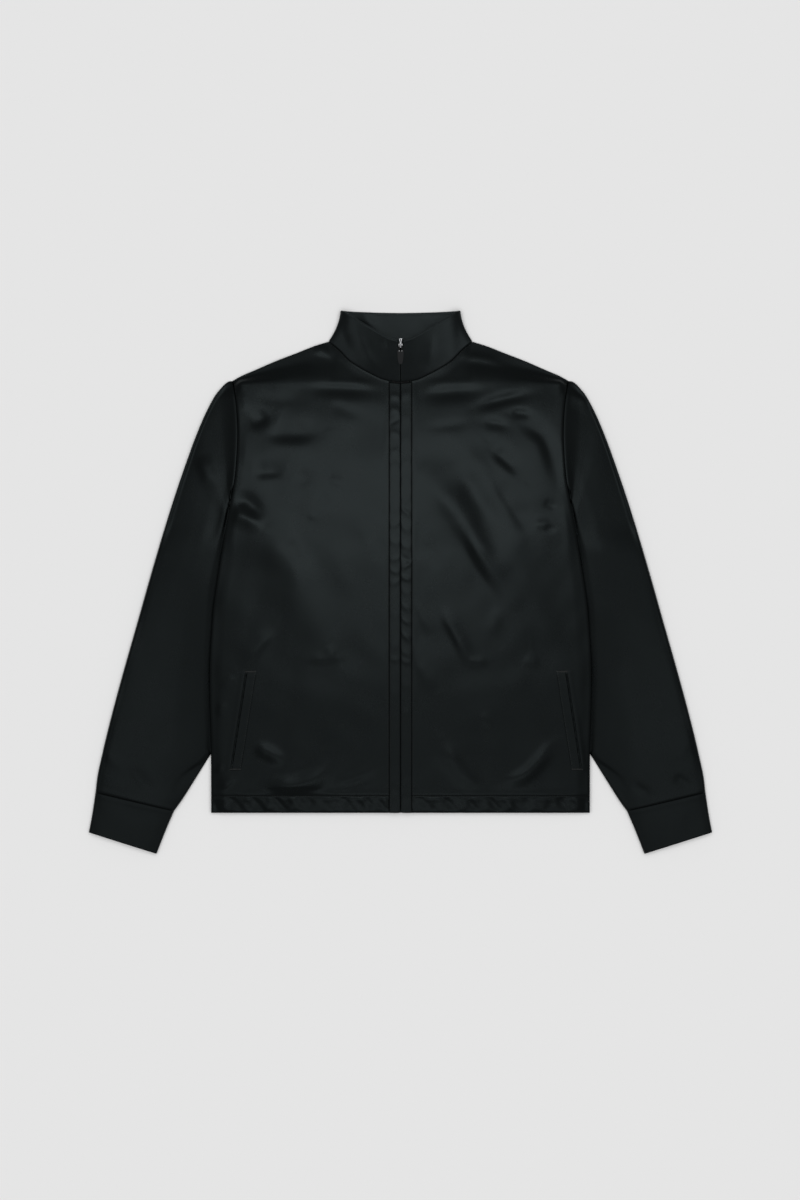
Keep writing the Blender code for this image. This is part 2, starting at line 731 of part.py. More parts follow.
def build_slider(finish):
    half = 0.5 * PLATE_LENGTH
    wide = 0.5 * PLATE_WIDE
    narrow = 0.5 * PLATE_NARROW
    bm = bmesh.new()
    corners = box(bm, (-wide, -half, -PLATE_THICK), (wide, half, 0.0))
    for corner in corners:
        if corner.co.y > 0.0:
            corner.co.x = math.copysign(narrow, corner.co.x)
    slider = add_object("zip_slider", bm, finish)
    low = LOWER_PLATE_TOP - LOWER_PLATE_THICK
    lower = bar_piece(
        "lower_plate",
        (-narrow, -half + LOWER_SETBACK[0], low),
        (narrow, half - LOWER_SETBACK[1], LOWER_PLATE_TOP),
        finish,
    )
    neck = bar_piece(
        "neck",
        (-0.5 * NECK_WIDTH, half - NECK_LENGTH - LOWER_SETBACK[0], low + BAR_INSET),
        (0.5 * NECK_WIDTH, half - LOWER_SETBACK[0], -BAR_INSET),
        finish,
    )
    side = 0.5 * BRIDGE_WIDTH
    start, end = BRIDGE_Y
    leg_a = bar_piece(
        "leg_a", (-side, start, -OVERLAP), (side, start + BRIDGE_LEG, BRIDGE_TOP), finish
    )
    leg_b = bar_piece(
        "leg_b", (-side, end - BRIDGE_LEG, -OVERLAP), (side, end, BRIDGE_TOP), finish
    )
    bar = bar_piece(
        "bridge_bar",
        (-0.8 * side, start + BAR_INSET, BRIDGE_TOP - BRIDGE_BAR),
        (0.8 * side, end - BAR_INSET, BRIDGE_TOP - 0.1),
        finish,
    )
    unite(slider, [lower, neck, leg_a, leg_b, bar])
    slider.matrix_world = slider_frame()


def build_pull_tab(finish):
    start, middle, end = [0.5 * width for width in TAB_WIDTHS]
    far = TAB_START + TAB_LENGTH
    bend = mix(TAB_START, far, TAB_BEND_SHARE)
    half_outline = [
        (end - TAB_CORNER, -far),
        (end, -far + TAB_CORNER),
        (middle, -bend),
        (start, -TAB_START),
    ]
    outline = [(-x, y) for x, y in reversed(half_outline)] + half_outline
    bm = bmesh.new()
    half = 0.5 * TAB_THICK
    low = [bm.verts.new((x, y, -half)) for x, y in outline]
    top = [bm.verts.new((x, y, half)) for x, y in outline]
    bm.faces.new(top)
    bm.faces.new(reversed(low))
    for i in range(len(outline)):
        j = (i + 1) % len(outline)
        bm.faces.new((low[i], low[j], top[j], top[i]))
    tab = add_object("pull_tab", bm, finish)
    pieces = []
    thin = 0.5 * ARM_THICK
    near, out = ARM_X
    for name, low_x, high_x in (("arm_a", -out, -near), ("arm_b", near, out)):
        pieces.append(
            bar_piece(
                name, (low_x, -TAB_START - ARM_OVERLAP, -thin), (high_x, ARM_REACH, thin), finish
            )
        )
    bm = bmesh.new()
    bmesh.ops.create_cone(
        bm,
        cap_ends=True,
        segments=BAR_SIDES,
        radius1=BAR_RADIUS,
        radius2=BAR_RADIUS,
        depth=2.0 * out - OVERLAP,
        matrix=Matrix.Rotation(math.radians(90.0), 4, "Y"),
    )
    pieces.append(add_object("pivot_bar", bm, finish))
    unite(tab, pieces)
    place = Matrix.Translation(Vector((0.0, PIVOT_Y, PIVOT_Z)) * MM)
    tab.matrix_world = slider_frame() @ place


def main():
    for obj in list(bpy.data.objects):
        bpy.data.objects.remove(obj, do_unlink=True)
    knit = material("body_knit", (0.012, 0.015, 0.015), 0.55)
    rib = material("collar_and_cuff_knit", (0.012, 0.014, 0.015), 0.75)
    tape = material("zip_tape", (0.008, 0.009, 0.010), 0.85)
    metal = material("slider_metal", (0.55, 0.56, 0.57), 0.30, 1.0)
    rubber = material("tab_rubber", (0.06, 0.065, 0.07), 0.6)
    build_back(knit)
    build_fronts(knit, knit)
    build_bands(knit)
    build_sleeves(knit, rib)
    build_collar(rib)
    build_tapes(tape)
    build_slider(metal)
    build_pull_tab(rubber)


main()
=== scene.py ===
import math

import bmesh
import bpy
import numpy as np
from mathutils import Matrix
from mathutils import Vector


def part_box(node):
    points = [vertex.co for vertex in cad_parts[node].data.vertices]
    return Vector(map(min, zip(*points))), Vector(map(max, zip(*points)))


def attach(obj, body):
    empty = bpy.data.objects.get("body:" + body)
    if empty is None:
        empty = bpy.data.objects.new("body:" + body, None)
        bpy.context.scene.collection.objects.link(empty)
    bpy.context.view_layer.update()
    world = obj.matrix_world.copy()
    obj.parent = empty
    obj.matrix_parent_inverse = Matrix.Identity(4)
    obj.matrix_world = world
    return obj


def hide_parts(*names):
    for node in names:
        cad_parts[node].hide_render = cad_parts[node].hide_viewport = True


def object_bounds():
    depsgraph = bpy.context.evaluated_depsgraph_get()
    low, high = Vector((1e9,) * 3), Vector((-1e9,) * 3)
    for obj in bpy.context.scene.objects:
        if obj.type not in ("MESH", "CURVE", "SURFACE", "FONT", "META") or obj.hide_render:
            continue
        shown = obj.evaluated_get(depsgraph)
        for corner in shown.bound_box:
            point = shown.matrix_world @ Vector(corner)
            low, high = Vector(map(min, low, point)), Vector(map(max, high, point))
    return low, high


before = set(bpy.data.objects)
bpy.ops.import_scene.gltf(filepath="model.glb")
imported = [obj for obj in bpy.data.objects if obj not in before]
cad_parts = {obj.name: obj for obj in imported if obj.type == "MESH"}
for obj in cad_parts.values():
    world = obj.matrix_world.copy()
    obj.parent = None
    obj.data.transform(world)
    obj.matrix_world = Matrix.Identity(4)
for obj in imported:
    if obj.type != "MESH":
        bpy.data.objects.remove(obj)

CAD_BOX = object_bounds()
MM = 0.001

# ---- sizes of the cut
CLOTH = 1.0
COLLAR_WALL = 1.9
CUFF_WALL = 1.7
BODY_LOFT = 9.0
TUCKED_SLEEVE = 2.9
SLEEVE_LOFT = 10.0
SLEEVE_FALL = 4.2
CUFF_LOFT = 8.8
LIFT = 3.2

HEM_Y = -334.0
HEM_LINE_Y = -309.6
HEM_FALL = 1.9
ARMPIT_Y = 111.0
SHOULDER_Y = 286.0
SHOULDER_X = 243.0
TIP_Y = 289.6
SEAM_LAP = 0.5
NECK_POINT_X = 103.5
BAND_EDGE_X = 16.4
RAMP_WIDTH = 30.0
RAMP_MARGIN = 5.0

# Fineness of the meshes: spacing on the panels, and rows and columns of the tubes
FRONT_SPACING = 2.2
BACK_SPACING = 5.0
SLEEVE_GRID = (220, 80)
CUFF_GRID = (46, 64)
COLLAR_COLUMNS = 260
# How a front comes round at its side and at its hem: width, and how far it falls
SIDE_ROUND = 3.5
SIDE_DROP = 1.3
HEM_ROUND = 1.8
HEM_DROP = 1.0
# Share of a front's width where its roll down to the side starts: lower body, chest
ROLL_START = (0.92, 0.945)
NECK_TURN = 2.6
SLEEVE_LENGTH = 640.0
CUFF_LENGTH = 62.0
TAPE_WALL = 0.6
TAPE_LOW_Y = -329.0
# Slow unevenness of the cloth: height, and the seed of each piece
FRONT_RIPPLE = 0.16
SLEEVE_RIPPLE = 0.11
TRIM_RIPPLE = 0.05
RIPPLE_SEEDS = {
    "front": {"left": 12, "right": 11},
    "sleeve": {"left": 22, "right": 21},
    "cuff": {"left": 42, "right": 41},
    "collar": 51,
}
STITCH_SEEDS = {"left": 20, "right": 30}
TEETH_SEED = 40
HEM_SEED = 5
# The right is laid out first, with x rising outward
SIGN = {"left": -1, "right": 1}
# Turns the width of a wale in metres into the wave texture's scale
WALES_TO_SCALE = 0.314

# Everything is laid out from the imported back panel's hem
SHIFT_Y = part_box("back_panel")[0][1] / MM - HEM_Y

# Side edge of the body, and the armhole seam above the armpit: y, x
SIDE_EDGE = (
    (-334, 273.3), (-250, 273.6), (-141, 276), (-55, 272), (28, 261),
    (111, 245.8),
)
ARMHOLE = ((111, 245.8), (158, 238), (215, 235), (264, 238.5), (286, 243))
# Neck seam and shoulder seam of a front: x, y, low face z
NECK_SEAM = (
    (0, 287.5, 9), (16.4, 289.5, 9), (24.7, 291.5, 9), (41.3, 299, 8.8),
    (59.6, 309, 8.2), (72.9, 318, 7.4), (89.6, 335, 4.9), (103.5, 346.5, 1.5),
)
SHOULDER_SEAM = (
    (103.5, 346.5, 1.5), (124, 340.2, 1.5), (150, 330, 1.5), (180, 318.4, 1.5),
    (211, 305, 1.5), (230, 296.8, 1.5), (243, 289.6, 1.5),
)
BACK_NECK = ((0, 335.6), (35, 336.2), (70, 338.8), (103.5, 346.5))
# Inner fold of the sleeve where it lies tucked under the body: y, x
TUCK_FOLD = (
    (-300, 306), (-248.5, 273.5), (-207, 246), (-167, 220), (-115, 187),
    (-55, 161), (-10, 150), (22, 151), (50, 159), (76, 176),
    (95, 200), (104.5, 224), (122, 240),
)
# Low face of a front along its outer edge: y, z
FRONT_EDGE = (
    (-334, 6.2), (-292, 6.2), (-252, 6.8), (60, 7.4), (122, 8.1), (150, 8.6),
    (205, 8.8), (262, 8.2), (286, 1.5),
)
# Outer line of the sleeve from the cuff to the shoulder tip: y, x
SLEEVE_OUTER = (
    (-304.5, 440.6), (-288.6, 438.9), (-245, 430), (-158, 408), (-71, 383.5),
    (16, 358.9), (103, 332.8), (168, 311), (211.7, 295), (245, 280.6),
    (262.5, 271.4), (281.2, 257.4), (289.6, 243),
)
# Sections of the sleeve: y on the outer line, y where it passes under the body's side,
# x and y on the inner fold, and the share of the section that lies tucked
SLEEVE_SECTIONS = (
    (274, 107.5, 224, 104.5, 1),
    (252, 100, 200, 95, 1),
    (214, 87, 176, 76, 1),
    (168, 70, 159, 50, 1),
    (120, 50, 151, 22, 1),
    (60, 22, 150, -10, 1),
    (0, -34, 161, -55, 1),
    (-60, -95, 187, -115, 1),
    (-115, -151, 220, -167, 1),
    (-160, -201, 246, -207, 1),
    (-205, -246, 273.5, -248.5, 1),
    (-250, -287, 300, -291, 0.3),
    (-285, -316, 317.5, -318.5, 0),
    (-304.5, -329, 327, -331.5, 0),
)
ARMHOLE_STOPS = (111, 114, 118, 122, 140, 160, 185, 212, 238, 262, 283, 286)
FREE_PROFILE = (0.78, 0.80, 0.86, 0.92, 0.97, 1, 1, 1, 0.97, 0.90, 0.80, 0.78)
TUCKED_PROFILE = (0.30, 0.30, 0.30, 0.30, 0.66, 0.90, 1, 1, 0.97, 0.90, 0.80, 0.78)
CUFF_LINES = (
    (440.7, -305, 327.3, -332),
    (445.7, -338, 339.5, -360.5),
    (450.3, -362.2, 352.3, -393.2),
)
# Stations of the collar from the front's middle round to the back's middle:
# seam x, y, z and rim x, y, z, all on the middle of the wall
COLLAR_STATIONS = (
    (0.4, 287.5, 9.6, 0.4, 348, 17),
    (16.4, 289.5, 9.6, 16, 351.8, 17.2),
    (24.7, 291.5, 9.6, 25, 356.6, 17.2),
    (41.3, 299, 9.4, 43.6, 367.2, 17),
    (59.6, 309, 8.8, 61, 377.6, 16.2),
    (72.9, 318, 8, 71.8, 384.2, 14.8),
    (89.6, 335, 5.9, 80.6, 389.6, 12),
    (100, 343.6, 4.3, 84.6, 391, 9.2),
    (103.5, 346.5, 2.9, 85.8, 391.2, 6.6),
    (100, 345.7, 1.5, 84.4, 391.1, 4),
    (88, 342.9, 1.05, 78, 390.6, 2),
    (70, 338.8, 1, 62, 389.6, 1.3),
    (35, 336.2, 1, 31, 388.5, 1),
    (0, 335.6, 1, 0, 388, 1),
)
COLLAR_WAIST = 3.6
COLLAR_HEIGHT = 60.0
RIM_CHAMFER = 2.0
RIM_WALL = 0.14
# How strongly the creases of the chest and of the lower body are pressed in
CHEST_DEPTH = 1.35
LOW_DEPTH = 1.75
# Where the chest breaks over into the shoulder
BREAK_Y = 286.0
# How far each of the collar's fronts stands off the slider, and the height of its bridge's foot
SLIDER_OPENING = 3.5
BRIDGE_LOW = 18.2
# Slider: height of its top at its low end, how that rises, and its polished plate: y, half width
SLIDER_LOW_Y = 339.0
SLIDER_TOP = 16.72
SLIDER_SLOPE = 0.123
CROWN_RISE = 0.35
CROWN_OUTLINE = (
    (337.9, 1.5), (338.4, 2.4), (340.5, 2.8), (342, 2.5), (343.4, 1.4), (345.3, 1.25),
    (347.2, 1.7), (349, 2.2), (350, 2), (350.5, 1.3),
)
RIVET = (2.1, 332.3, 17.7)
RIVET_RADIUS = 0.75
RIVET_RISE = 0.5
# Pocket slits: x at the top and at the bottom of the slit
POCKET_TOP_Y = -130.0
POCKET_END_Y = -266.5
SLIT_X = {"left": (221.7, 243), "right": (238.5, 259.6)}
WELT_RISE = 0.3
MOUTH_DEPTH = 1.1
# Across a welt: distance from the slit, and height over the front
WELT_PROFILE = (
    (-13.8, 0), (-13.4, 0.3), (-12.8, 0.55), (-11.5, 0.65), (-8, 0.6), (-4, 0.6), (-1.4, 0.75),
    (-1.1, 0.75), (-0.85, 0.5), (-0.75, -0.9), (0, -1.6), (0.6, -0.9), (0.65, 0.3), (0.95, 0.5),
    (1.4, 0.4), (2, 0),
)

# ---- creases
# Points along each crease in x and y, half width on the left and on the right of one who
# walks along it, and its height; a trough has a height below nought.
FRONT_CREASES = {}
FRONT_CREASES["left"] = (
    (((-128, 337), (-110, 331), (-93, 322)), 9, 5, 1.5),
    # Under the shoulder
    (((-140, 279), (-90, 278), (-60, 276), (-24, 272)), 7, 10, -1.9),
    (((-215, 268), (-180, 262), (-140, 262)), 10, 8, -0.5),
    (((-104, 258), (-80, 248), (-52, 238)), 8, 10, -0.8),
    # Short folds by the armhole
    (((-194, 222), (-178, 212), (-152, 212), (-116, 217)), 18, 11, -2.3),
    (((-220, 226), (-206, 232), (-188, 243)), 15, 9, -2),
    (((-232, 275), (-226, 258), (-222, 243)), 6, 7, 0.8),
    (((-216, 158), (-200, 158), (-184, 159), (-164, 155)), 16, 9, -2),
    (((-244, 116), (-226, 117), (-210, 105), (-198, 86)), 11, 10, -2.3),
    (((-249, 98), (-226, 92), (-196, 76)), 11, 10, 2.4),
    # Long roll that runs down to the middle, with slack cloth below it
    (((-214, 92), (-184, 62), (-163, 26), (-148, -6), (-134, -38), (-108, -82)), 24, 36, 4.5),
    (((-160, 62), (-152, 44), (-146, 26)), 9, 9, 0.6),
    (((-152, 158), (-140, 148), (-132, 136)), 12, 12, -0.7),
    (((-104, 150), (-92, 144), (-78, 140)), 8, 6, 0.6),
    (((-134, 97), (-126, 94), (-120, 90)), 5, 5, 0.4),
    (((-124, 128), (-110, 118), (-98, 112)), 9, 9, -0.5),
    (((-60, 90), (-50, 66), (-38, 30)), 14, 12, 0.7),
    (((-96, 60), (-86, 20), (-66, -30)), 16, 14, 0.6),
    # Lower body
    (((-182, -64), (-204, -92), (-222, -112), (-240, -124)), 9, 20, 1.6),
    (((-240, -134), (-250, -148), (-254, -160)), 7, 7, 0.6),
    (((-256, -172), (-259, -186), (-262, -198)), 7, 7, 0.7),
    (((-134, -113), (-108, -112), (-84, -109)), 9, 5, 0.9),
    (((-108, -92), (-100, -102), (-92, -108)), 9, 8, 0.7),
    (((-214, -238), (-194, -244), (-180, -252), (-164, -262)), 8, 12, 2.4),
    (((-205, -284), (-190, -293), (-162, -294), (-134, -288), (-112, -276), (-98, -250)), 12, 16, 3.3),
    (((-98, -292), (-62, -281), (-28, -264)), 8, 6, 0.8),
    (((-206, -305), (-150, -307), (-84, -306), (-44, -292)), 4, 3, 0.5),
    (((-238, -279), (-250, -292), (-259, -302)), 4, 8, 1.1),
    (((-270, -276), (-262, -270), (-254, -262)), 4, 4, 0.8),
)
FRONT_CREASES["right"] = (
    (((83, 326), (118, 322), (153, 314)), 9, 5, 1.6),
    # Under the shoulder
    (((28, 268), (80, 274), (130, 276)), 8, 11, -1.9),
    (((104, 250), (145, 262), (196, 273)), 8, 8, -2.3),
    (((158, 244), (174, 243), (192, 239)), 6, 7, -1.5),
    (((118, 230), (138, 228), (160, 221)), 6, 8, -1.2),
    (((34, 222), (60, 224), (104, 231)), 7, 8, -0.6),
    # Drawn up by the armhole
    (((166, 234), (188, 222), (205, 209), (215, 190), (222, 164), (229, 138)), 15, 10, -2.2),
    (((132, 194), (146, 180), (158, 169), (174, 150)), 16, 8, -2.1),
    (((134, 156), (152, 124), (172, 90), (188, 62)), 16, 9, -1.3),
    (((190, 84), (204, 82), (218, 88)), 8, 6, 0.9),
    (((206, 116), (218, 110), (228, 108)), 6, 6, -0.8),
    (((208, 80), (216, 76), (226, 78)), 5, 5, -0.6),
    # Long roll from the middle down to the side
    (((36, 160), (60, 128), (86, 88), (106, 54), (128, 22), (146, -4), (162, -26)), 20, 17, 4.6),
    (((150, 96), (168, 40), (182, -20), (188, -60)), 26, 40, 2.4),
    (((80, 174), (98, 144), (120, 108), (140, 74)), 12, 15, -2),
    (((70, 214), (104, 180), (130, 142), (152, 98)), 14, 12, 0.8),
    (((78, 86), (94, 48), (114, 10), (138, -26)), 10, 17, -2.1),
    (((28, 60), (44, 40), (56, 10)), 12, 12, -0.6),
    # Lower body
    (((14, -22), (30, -46), (46, -80)), 10, 8, 1),
    (((22, -110), (34, -132), (50, -160)), 10, 9, 0.7),
    (((56, -34), (70, -60), (86, -90), (98, -112), (112, -120)), 12, 7, 1.9),
    (((96, -113), (110, -116), (128, -115)), 7, 4, 0.8),
    (((146, -34), (136, -58), (128, -80)), 10, 10, 0.7),
    (((114, -190), (124, -200), (136, -212)), 8, 7, 0.5),
    (((60, -228), (74, -254), (96, -282), (122, -302)), 9, 14, 1.8),
    (((146, -288), (172, -281), (196, -262), (214, -240), (226, -230)), 8, 13, 2.4),
    (((176, -110), (190, -116), (204, -116)), 10, 8, 0.6),
)
SLEEVE_CREASES = {
    "left": (
        (((-394, -262), (-374, -288), (-350, -306)), 12, 7, -1.2),
        (((-290, 184), (-280, 156), (-270, 128)), 12, 9, 3.2),
        (((-262, 120), (-268, 80), (-280, 50)), 8, 8, -1.2),
        (((-300, 60), (-330, -20), (-345, -90)), 24, 20, 1),
        (((-430, -240), (-410, -262), (-380, -270)), 8, 8, 0.8),
    ),
    "right": (
        (((392, -280), (408, -289), (424, -302)), 7, 10, -1.4),
        (((336, -290), (350, -302), (366, -308)), 6, 6, -1.1),
        (((234, 268), (254, 265), (280, 250)), 7, 12, 3.4),
        (((300, 40), (326, -30), (350, -110)), 22, 20, 1),
        (((420, -230), (400, -250), (372, -262)), 8, 8, 0.7),
    ),
}
# Puckers across the bands: y, height, half width and lean
BAND_PUCKERS = {
    "left": (
        (268, 0.7, 5, 0.1), (248, 0.8, 6, 0.2), (231, -0.6, 4, -0.5), (214, 0.6, 5, 0.2),
        (188, 0.5, 5, -0.2), (166, 0.4, 6, 0.2), (140, 0.3, 6, 0), (105, 0.4, 7, 0.2),
        (82, 0.6, 5, -0.3), (56, 0.6, 5, 0.2), (32, 0.7, 4, -0.2), (14, 0.9, 4, 0.3),
        (-2, 0.7, 5, -0.3), (-48, 0.3, 6, 0.2), (-92, 0.3, 7, 0), (-113, 0.5, 4, 0.1),
        (-160, 0.2, 8, 0.1), (-215, 0.25, 7, -0.2), (-262, 0.2, 8, 0.1), (-300, 0.3, 6, 0.2),
    ),
    "right": (
        (270, 0.5, 7, 0.2), (236, 0.3, 8, -0.2), (205, 0.3, 8, 0.1), (172, 0.35, 6, 0.3),
        (146, 0.4, 6, -0.3), (118, 0.5, 6, 0.4), (100, 0.9, 5, -0.7), (76, 0.8, 6, -0.5),
        (50, 0.8, 5, -0.4), (33, -0.9, 4, -0.5), (22, 0.9, 4, 0.5), (4, 1.3, 4, -0.3),
        (-16, 0.5, 5, -0.5), (-38, 0.8, 5, -0.6), (-58, 0.9, 4, -0.6), (-80, 1, 5, -0.7),
        (-104, 0.6, 5, -0.5), (-116, 0.7, 4, -0.3), (-150, 0.3, 7, -0.3), (-190, 0.3, 7, 0.2),
        (-236, 0.25, 8, -0.2), (-280, 0.3, 7, 0.1), (-312, 0.3, 6, 0.2),
    ),
}
COLLAR_BACK_CREASES = (
    (((-60, 391), (-46, 376), (-32, 360)), 8, 7, 1.3),
    (((30, 386), (44, 374), (52, 362)), 9, 9, 0.5),
)
COLLAR_CREASES = (
    (((-26, 350), (-24, 342), (-23, 334)), 3, 3, -0.5),
    (((-66, 372), (-57, 345), (-44, 318), (-22, 300)), 8, 12, 1.3),
    (((-82, 362), (-76, 340), (-70, 326)), 7, 6, -0.8),
    (((46, 362), (44, 335), (36, 306)), 6, 9, 0.9),
)


# ---- curves and fields
def smooth(table, values, key=0, out=1):
    """Read a short table as a smooth curve that never overshoots its points."""
    rows = sorted(table, key=lambda row: row[key])
    xs = np.array([row[key] for row in rows], dtype=float)
    ys = np.array([row[out] for row in rows], dtype=float)
    return smooth_through(xs, ys, values)


def smooth_through(xs, ys, values):
    """Monotone cubic through rising xs; ys may hold several columns."""
    values = np.clip(np.asarray(values, dtype=float), xs[0], xs[-1])
    flat = ys.reshape(len(xs), -1)
    step = np.diff(xs)[:, None]
    slope = np.diff(flat, axis=0) / step
    tangent = np.zeros_like(flat)
    tangent[0] = slope[0]
    tangent[-1] = slope[-1]
    near = 2 * step[1:] + step[:-1]
    far = step[1:] + 2 * step[:-1]
    before = slope[:-1]
    after = slope[1:]
    same = before * after > 0
    safe_before = np.where(same, before, 1)
    safe_after = np.where(same, after, 1)
    inner = (near + far) / (near / safe_before + far / safe_after)
    tangent[1:-1] = np.where(same, inner, 0)
    i = np.clip(np.searchsorted(xs, values, side="right") - 1, 0, len(xs) - 2)
    t = ((values - xs[i]) / step[i, 0])[..., None]
    width = step[i]
    result = flat[i] * (1 + 2 * t) * (1 - t) ** 2 + tangent[i] * width * t * (1 - t) ** 2
    result += flat[i + 1] * t * t * (3 - 2 * t) - tangent[i + 1] * width * t * t * (1 - t)
    return result.reshape(values.shape + ys.shape[1:])


def ease(value):
    value = np.clip(value, 0, 1)
    return value * value * (3 - 2 * value)


def mix(a, b, share):
    return a + (b - a) * share


def reach_along(points):
    """Distance along a line of points, from its first one."""
    return np.concatenate([[0], np.cumsum(np.linalg.norm(np.diff(points, axis=0), axis=1))])


def soft_path(points, pieces=10):
    """Points along a curve through a few given ones."""
    points = np.array(points, dtype=float)
    reach = reach_along(points)
    stops = np.linspace(0, reach[-1], pieces * (len(points) - 1) + 1)
    return smooth_through(reach, points, stops)


def crease_field(x, y, creases):
    """Height that a set of creases adds at points of a piece."""
    total = np.zeros_like(x)
    for points, left_width, right_width, height in creases:
        path = soft_path(points)
        lengths = np.linalg.norm(np.diff(path, axis=0), axis=1)
        reach = np.concatenate([[0], np.cumsum(lengths)])
        best = np.full(x.shape, 1.0e9)
        side = np.zeros_like(x)
        share = np.zeros_like(x)
        for i, length in enumerate(lengths):
            ax, ay = path[i]
            dx, dy = (path[i + 1] - path[i]) / length
            px = x - ax
            py = y - ay
            along = np.clip(px * dx + py * dy, 0, length)
            off_x = px - along * dx
            off_y = py - along * dy
            distance = np.hypot(off_x, off_y)
            closer = distance < best
            best = np.where(closer, distance, best)
            side = np.where(closer, dx * py - dy * px, side)
            share = np.where(closer, (reach[i] + along) / reach[-1], share)
        width = np.where(side > 0, left_width, right_width)
        taper = mix(0.15, 1, ease(share / 0.35) * ease((1 - share) / 0.45))
        total += height * taper * np.exp(-((best / width) ** 2))
    return total


def ripple(x, y, seed, height, shortest=34, longest=120, waves=26):
    """Slow unevenness of cloth that has been handled."""
    dice = np.random.default_rng(seed)
    total = np.zeros_like(x)
    for _ in range(waves):
        length = dice.uniform(shortest, longest)
        turn = dice.uniform(0, math.pi)
        phase = dice.uniform(0, 2 * math.pi)
        wave = np.sin((x * math.cos(turn) + y * math.sin(turn)) * 2 * math.pi / length + phase)
        total += height * (length / longest) * wave
    return total


def side_x(y):
    """Outer edge of a body panel: the side below the armpit, the armhole above it."""
    return np.where(y <= ARMPIT_Y, smooth(SIDE_EDGE, y), smooth(ARMHOLE, y))


def rounded_edge(distance, width, drop):
    """How far a face falls where it comes round to an edge."""
    near = 1 - np.clip(distance / width, 0, 1)
    return drop * (1 - np.sqrt(1 - 0.96 * near ** 2))


def seam_dip(distance, depth=0.8, width=1.6, puff=0.35):
    """A sewn line: a narrow trough with cloth puffed up beside it."""
    distance = np.abs(distance)
    beside = puff * np.exp(-((distance - 4.5) / 3.2) ** 2)
    return beside - depth * np.exp(-((distance / width) ** 2))


# ---- materials
def put_in_scene(name, data):
    made = bpy.data.objects.new(name, data)
    bpy.context.scene.collection.objects.link(made)
    return made


def add_node(tree, kind, inputs=None, **settings):
    """A node of a tree, with its settings and the values of its inputs."""
    node = tree.nodes.new(kind)
    for name, value in settings.items():
        setattr(node, name, value)
    for name, value in (inputs or {}).items():
        node.inputs[name].default_value = value
    return node


def link_all(tree, *pairs):
    for start, end in pairs:
        tree.links.new(start, end)


def new_material(name, specular, **finish):
    """A material with the shader's plain values set on its own sockets."""
    made = bpy.data.materials.new(name)
    made.use_nodes = True
    shader = made.node_tree.nodes["Principled BSDF"].inputs
    shader["Specular IOR Level"].default_value = specular
    for socket, value in finish.items():
        shader[socket.replace("_", " ")].default_value = value
    return made, made.node_tree, shader


def add_bump(tree, shader, height, strength, distance):
    bump = add_node(tree, "ShaderNodeBump", {"Strength": strength, "Distance": distance})
    link_all(tree, (height, bump.inputs["Height"]), (bump.outputs["Normal"], shader["Normal"]))


def add_ramp(tree, value, low, high, ends=(0, 1)):
    """A colour that goes from one shade to another with a value."""
    ramp = add_node(tree, "ShaderNodeValToRGB")
    for stop, position, color in zip(ramp.color_ramp.elements, ends, (low, high)):
        stop.position = position
        stop.color = (*color, 1)
    tree.links.new(value, ramp.inputs["Fac"])
    return ramp.outputs["Color"]


def knit_material(name, color, roughness, specular, wale=0.9, relief=0.25):
    """Fine tricot knit: wales and courses in relief, slow changes of shade and gloss."""
    made, tree, shader = new_material(name, specular, Specular_Tint=(0.80, 0.97, 1, 1))
    uv = add_node(tree, "ShaderNodeUVMap", uv_map="cloth").outputs["UV"]
    wave = {"Scale": WALES_TO_SCALE / (wale * MM), "Distortion": 0.6, "Detail": 1}
    wales = add_node(tree, "ShaderNodeTexWave", wave, bands_direction="X")
    wave = {"Scale": WALES_TO_SCALE / (0.8 * wale * MM), "Distortion": 0.8}
    courses = add_node(tree, "ShaderNodeTexWave", wave, bands_direction="Y")
    grain = add_node(tree, "ShaderNodeTexNoise", {"Scale": 900, "Detail": 3})
    patches = add_node(tree, "ShaderNodeTexNoise", {"Scale": 14, "Detail": 4})
    for texture in (wales, courses, grain, patches):
        tree.links.new(uv, texture.inputs["Vector"])
    knit = add_node(tree, "ShaderNodeMath", operation="MULTIPLY")
    relief_sum = add_node(tree, "ShaderNodeMath", {1: 0.35}, operation="MULTIPLY_ADD")
    link_all(
        tree,
        (wales.outputs["Fac"], knit.inputs[0]),
        (courses.outputs["Fac"], knit.inputs[1]),
        (grain.outputs["Fac"], relief_sum.inputs[0]),
        (knit.outputs["Value"], relief_sum.inputs[2]),
    )
    add_bump(tree, shader, relief_sum.outputs["Value"], relief, 0.00012)
    spread = (0.3, 0.7)
    patch = patches.outputs["Fac"]
    shade = add_ramp(tree, patch, [0.85 * c for c in color], [1.15 * c for c in color], spread)
    limits = {"From Min": spread[0], "From Max": spread[1]}
    limits.update({"To Min": roughness - 0.03, "To Max": roughness + 0.03})
    gloss = add_node(tree, "ShaderNodeMapRange", limits)
    link_all(
        tree,
        (shade, shader["Base Color"]),
        (patch, gloss.inputs["Value"]),
        (gloss.outputs["Result"], shader["Roughness"]),
    )
    return made


def plain_material(name, color, roughness, metallic=0, grain_scale=400, relief=0.1, specular=0.5):
    """Metal, rubber, tape and thread with a fine grain of their own."""
    made, tree, shader = new_material(name, specular, Base_Color=(*color, 1), Metallic=metallic)
    place = add_node(tree, "ShaderNodeTexCoord")
    grain = add_node(tree, "ShaderNodeTexNoise", {"Scale": grain_scale, "Detail": 4})
    gloss = add_node(
        tree, "ShaderNodeMapRange", {"To Min": roughness - 0.06, "To Max": roughness + 0.06}
    )
    link_all(
        tree,
        (place.outputs["Object"], grain.inputs["Vector"]),
        (grain.outputs["Fac"], gloss.inputs["Value"]),
        (gloss.outputs["Result"], shader["Roughness"]),
    )
    add_bump(tree, shader, grain.outputs["Fac"], relief, 0.0001)
    return made


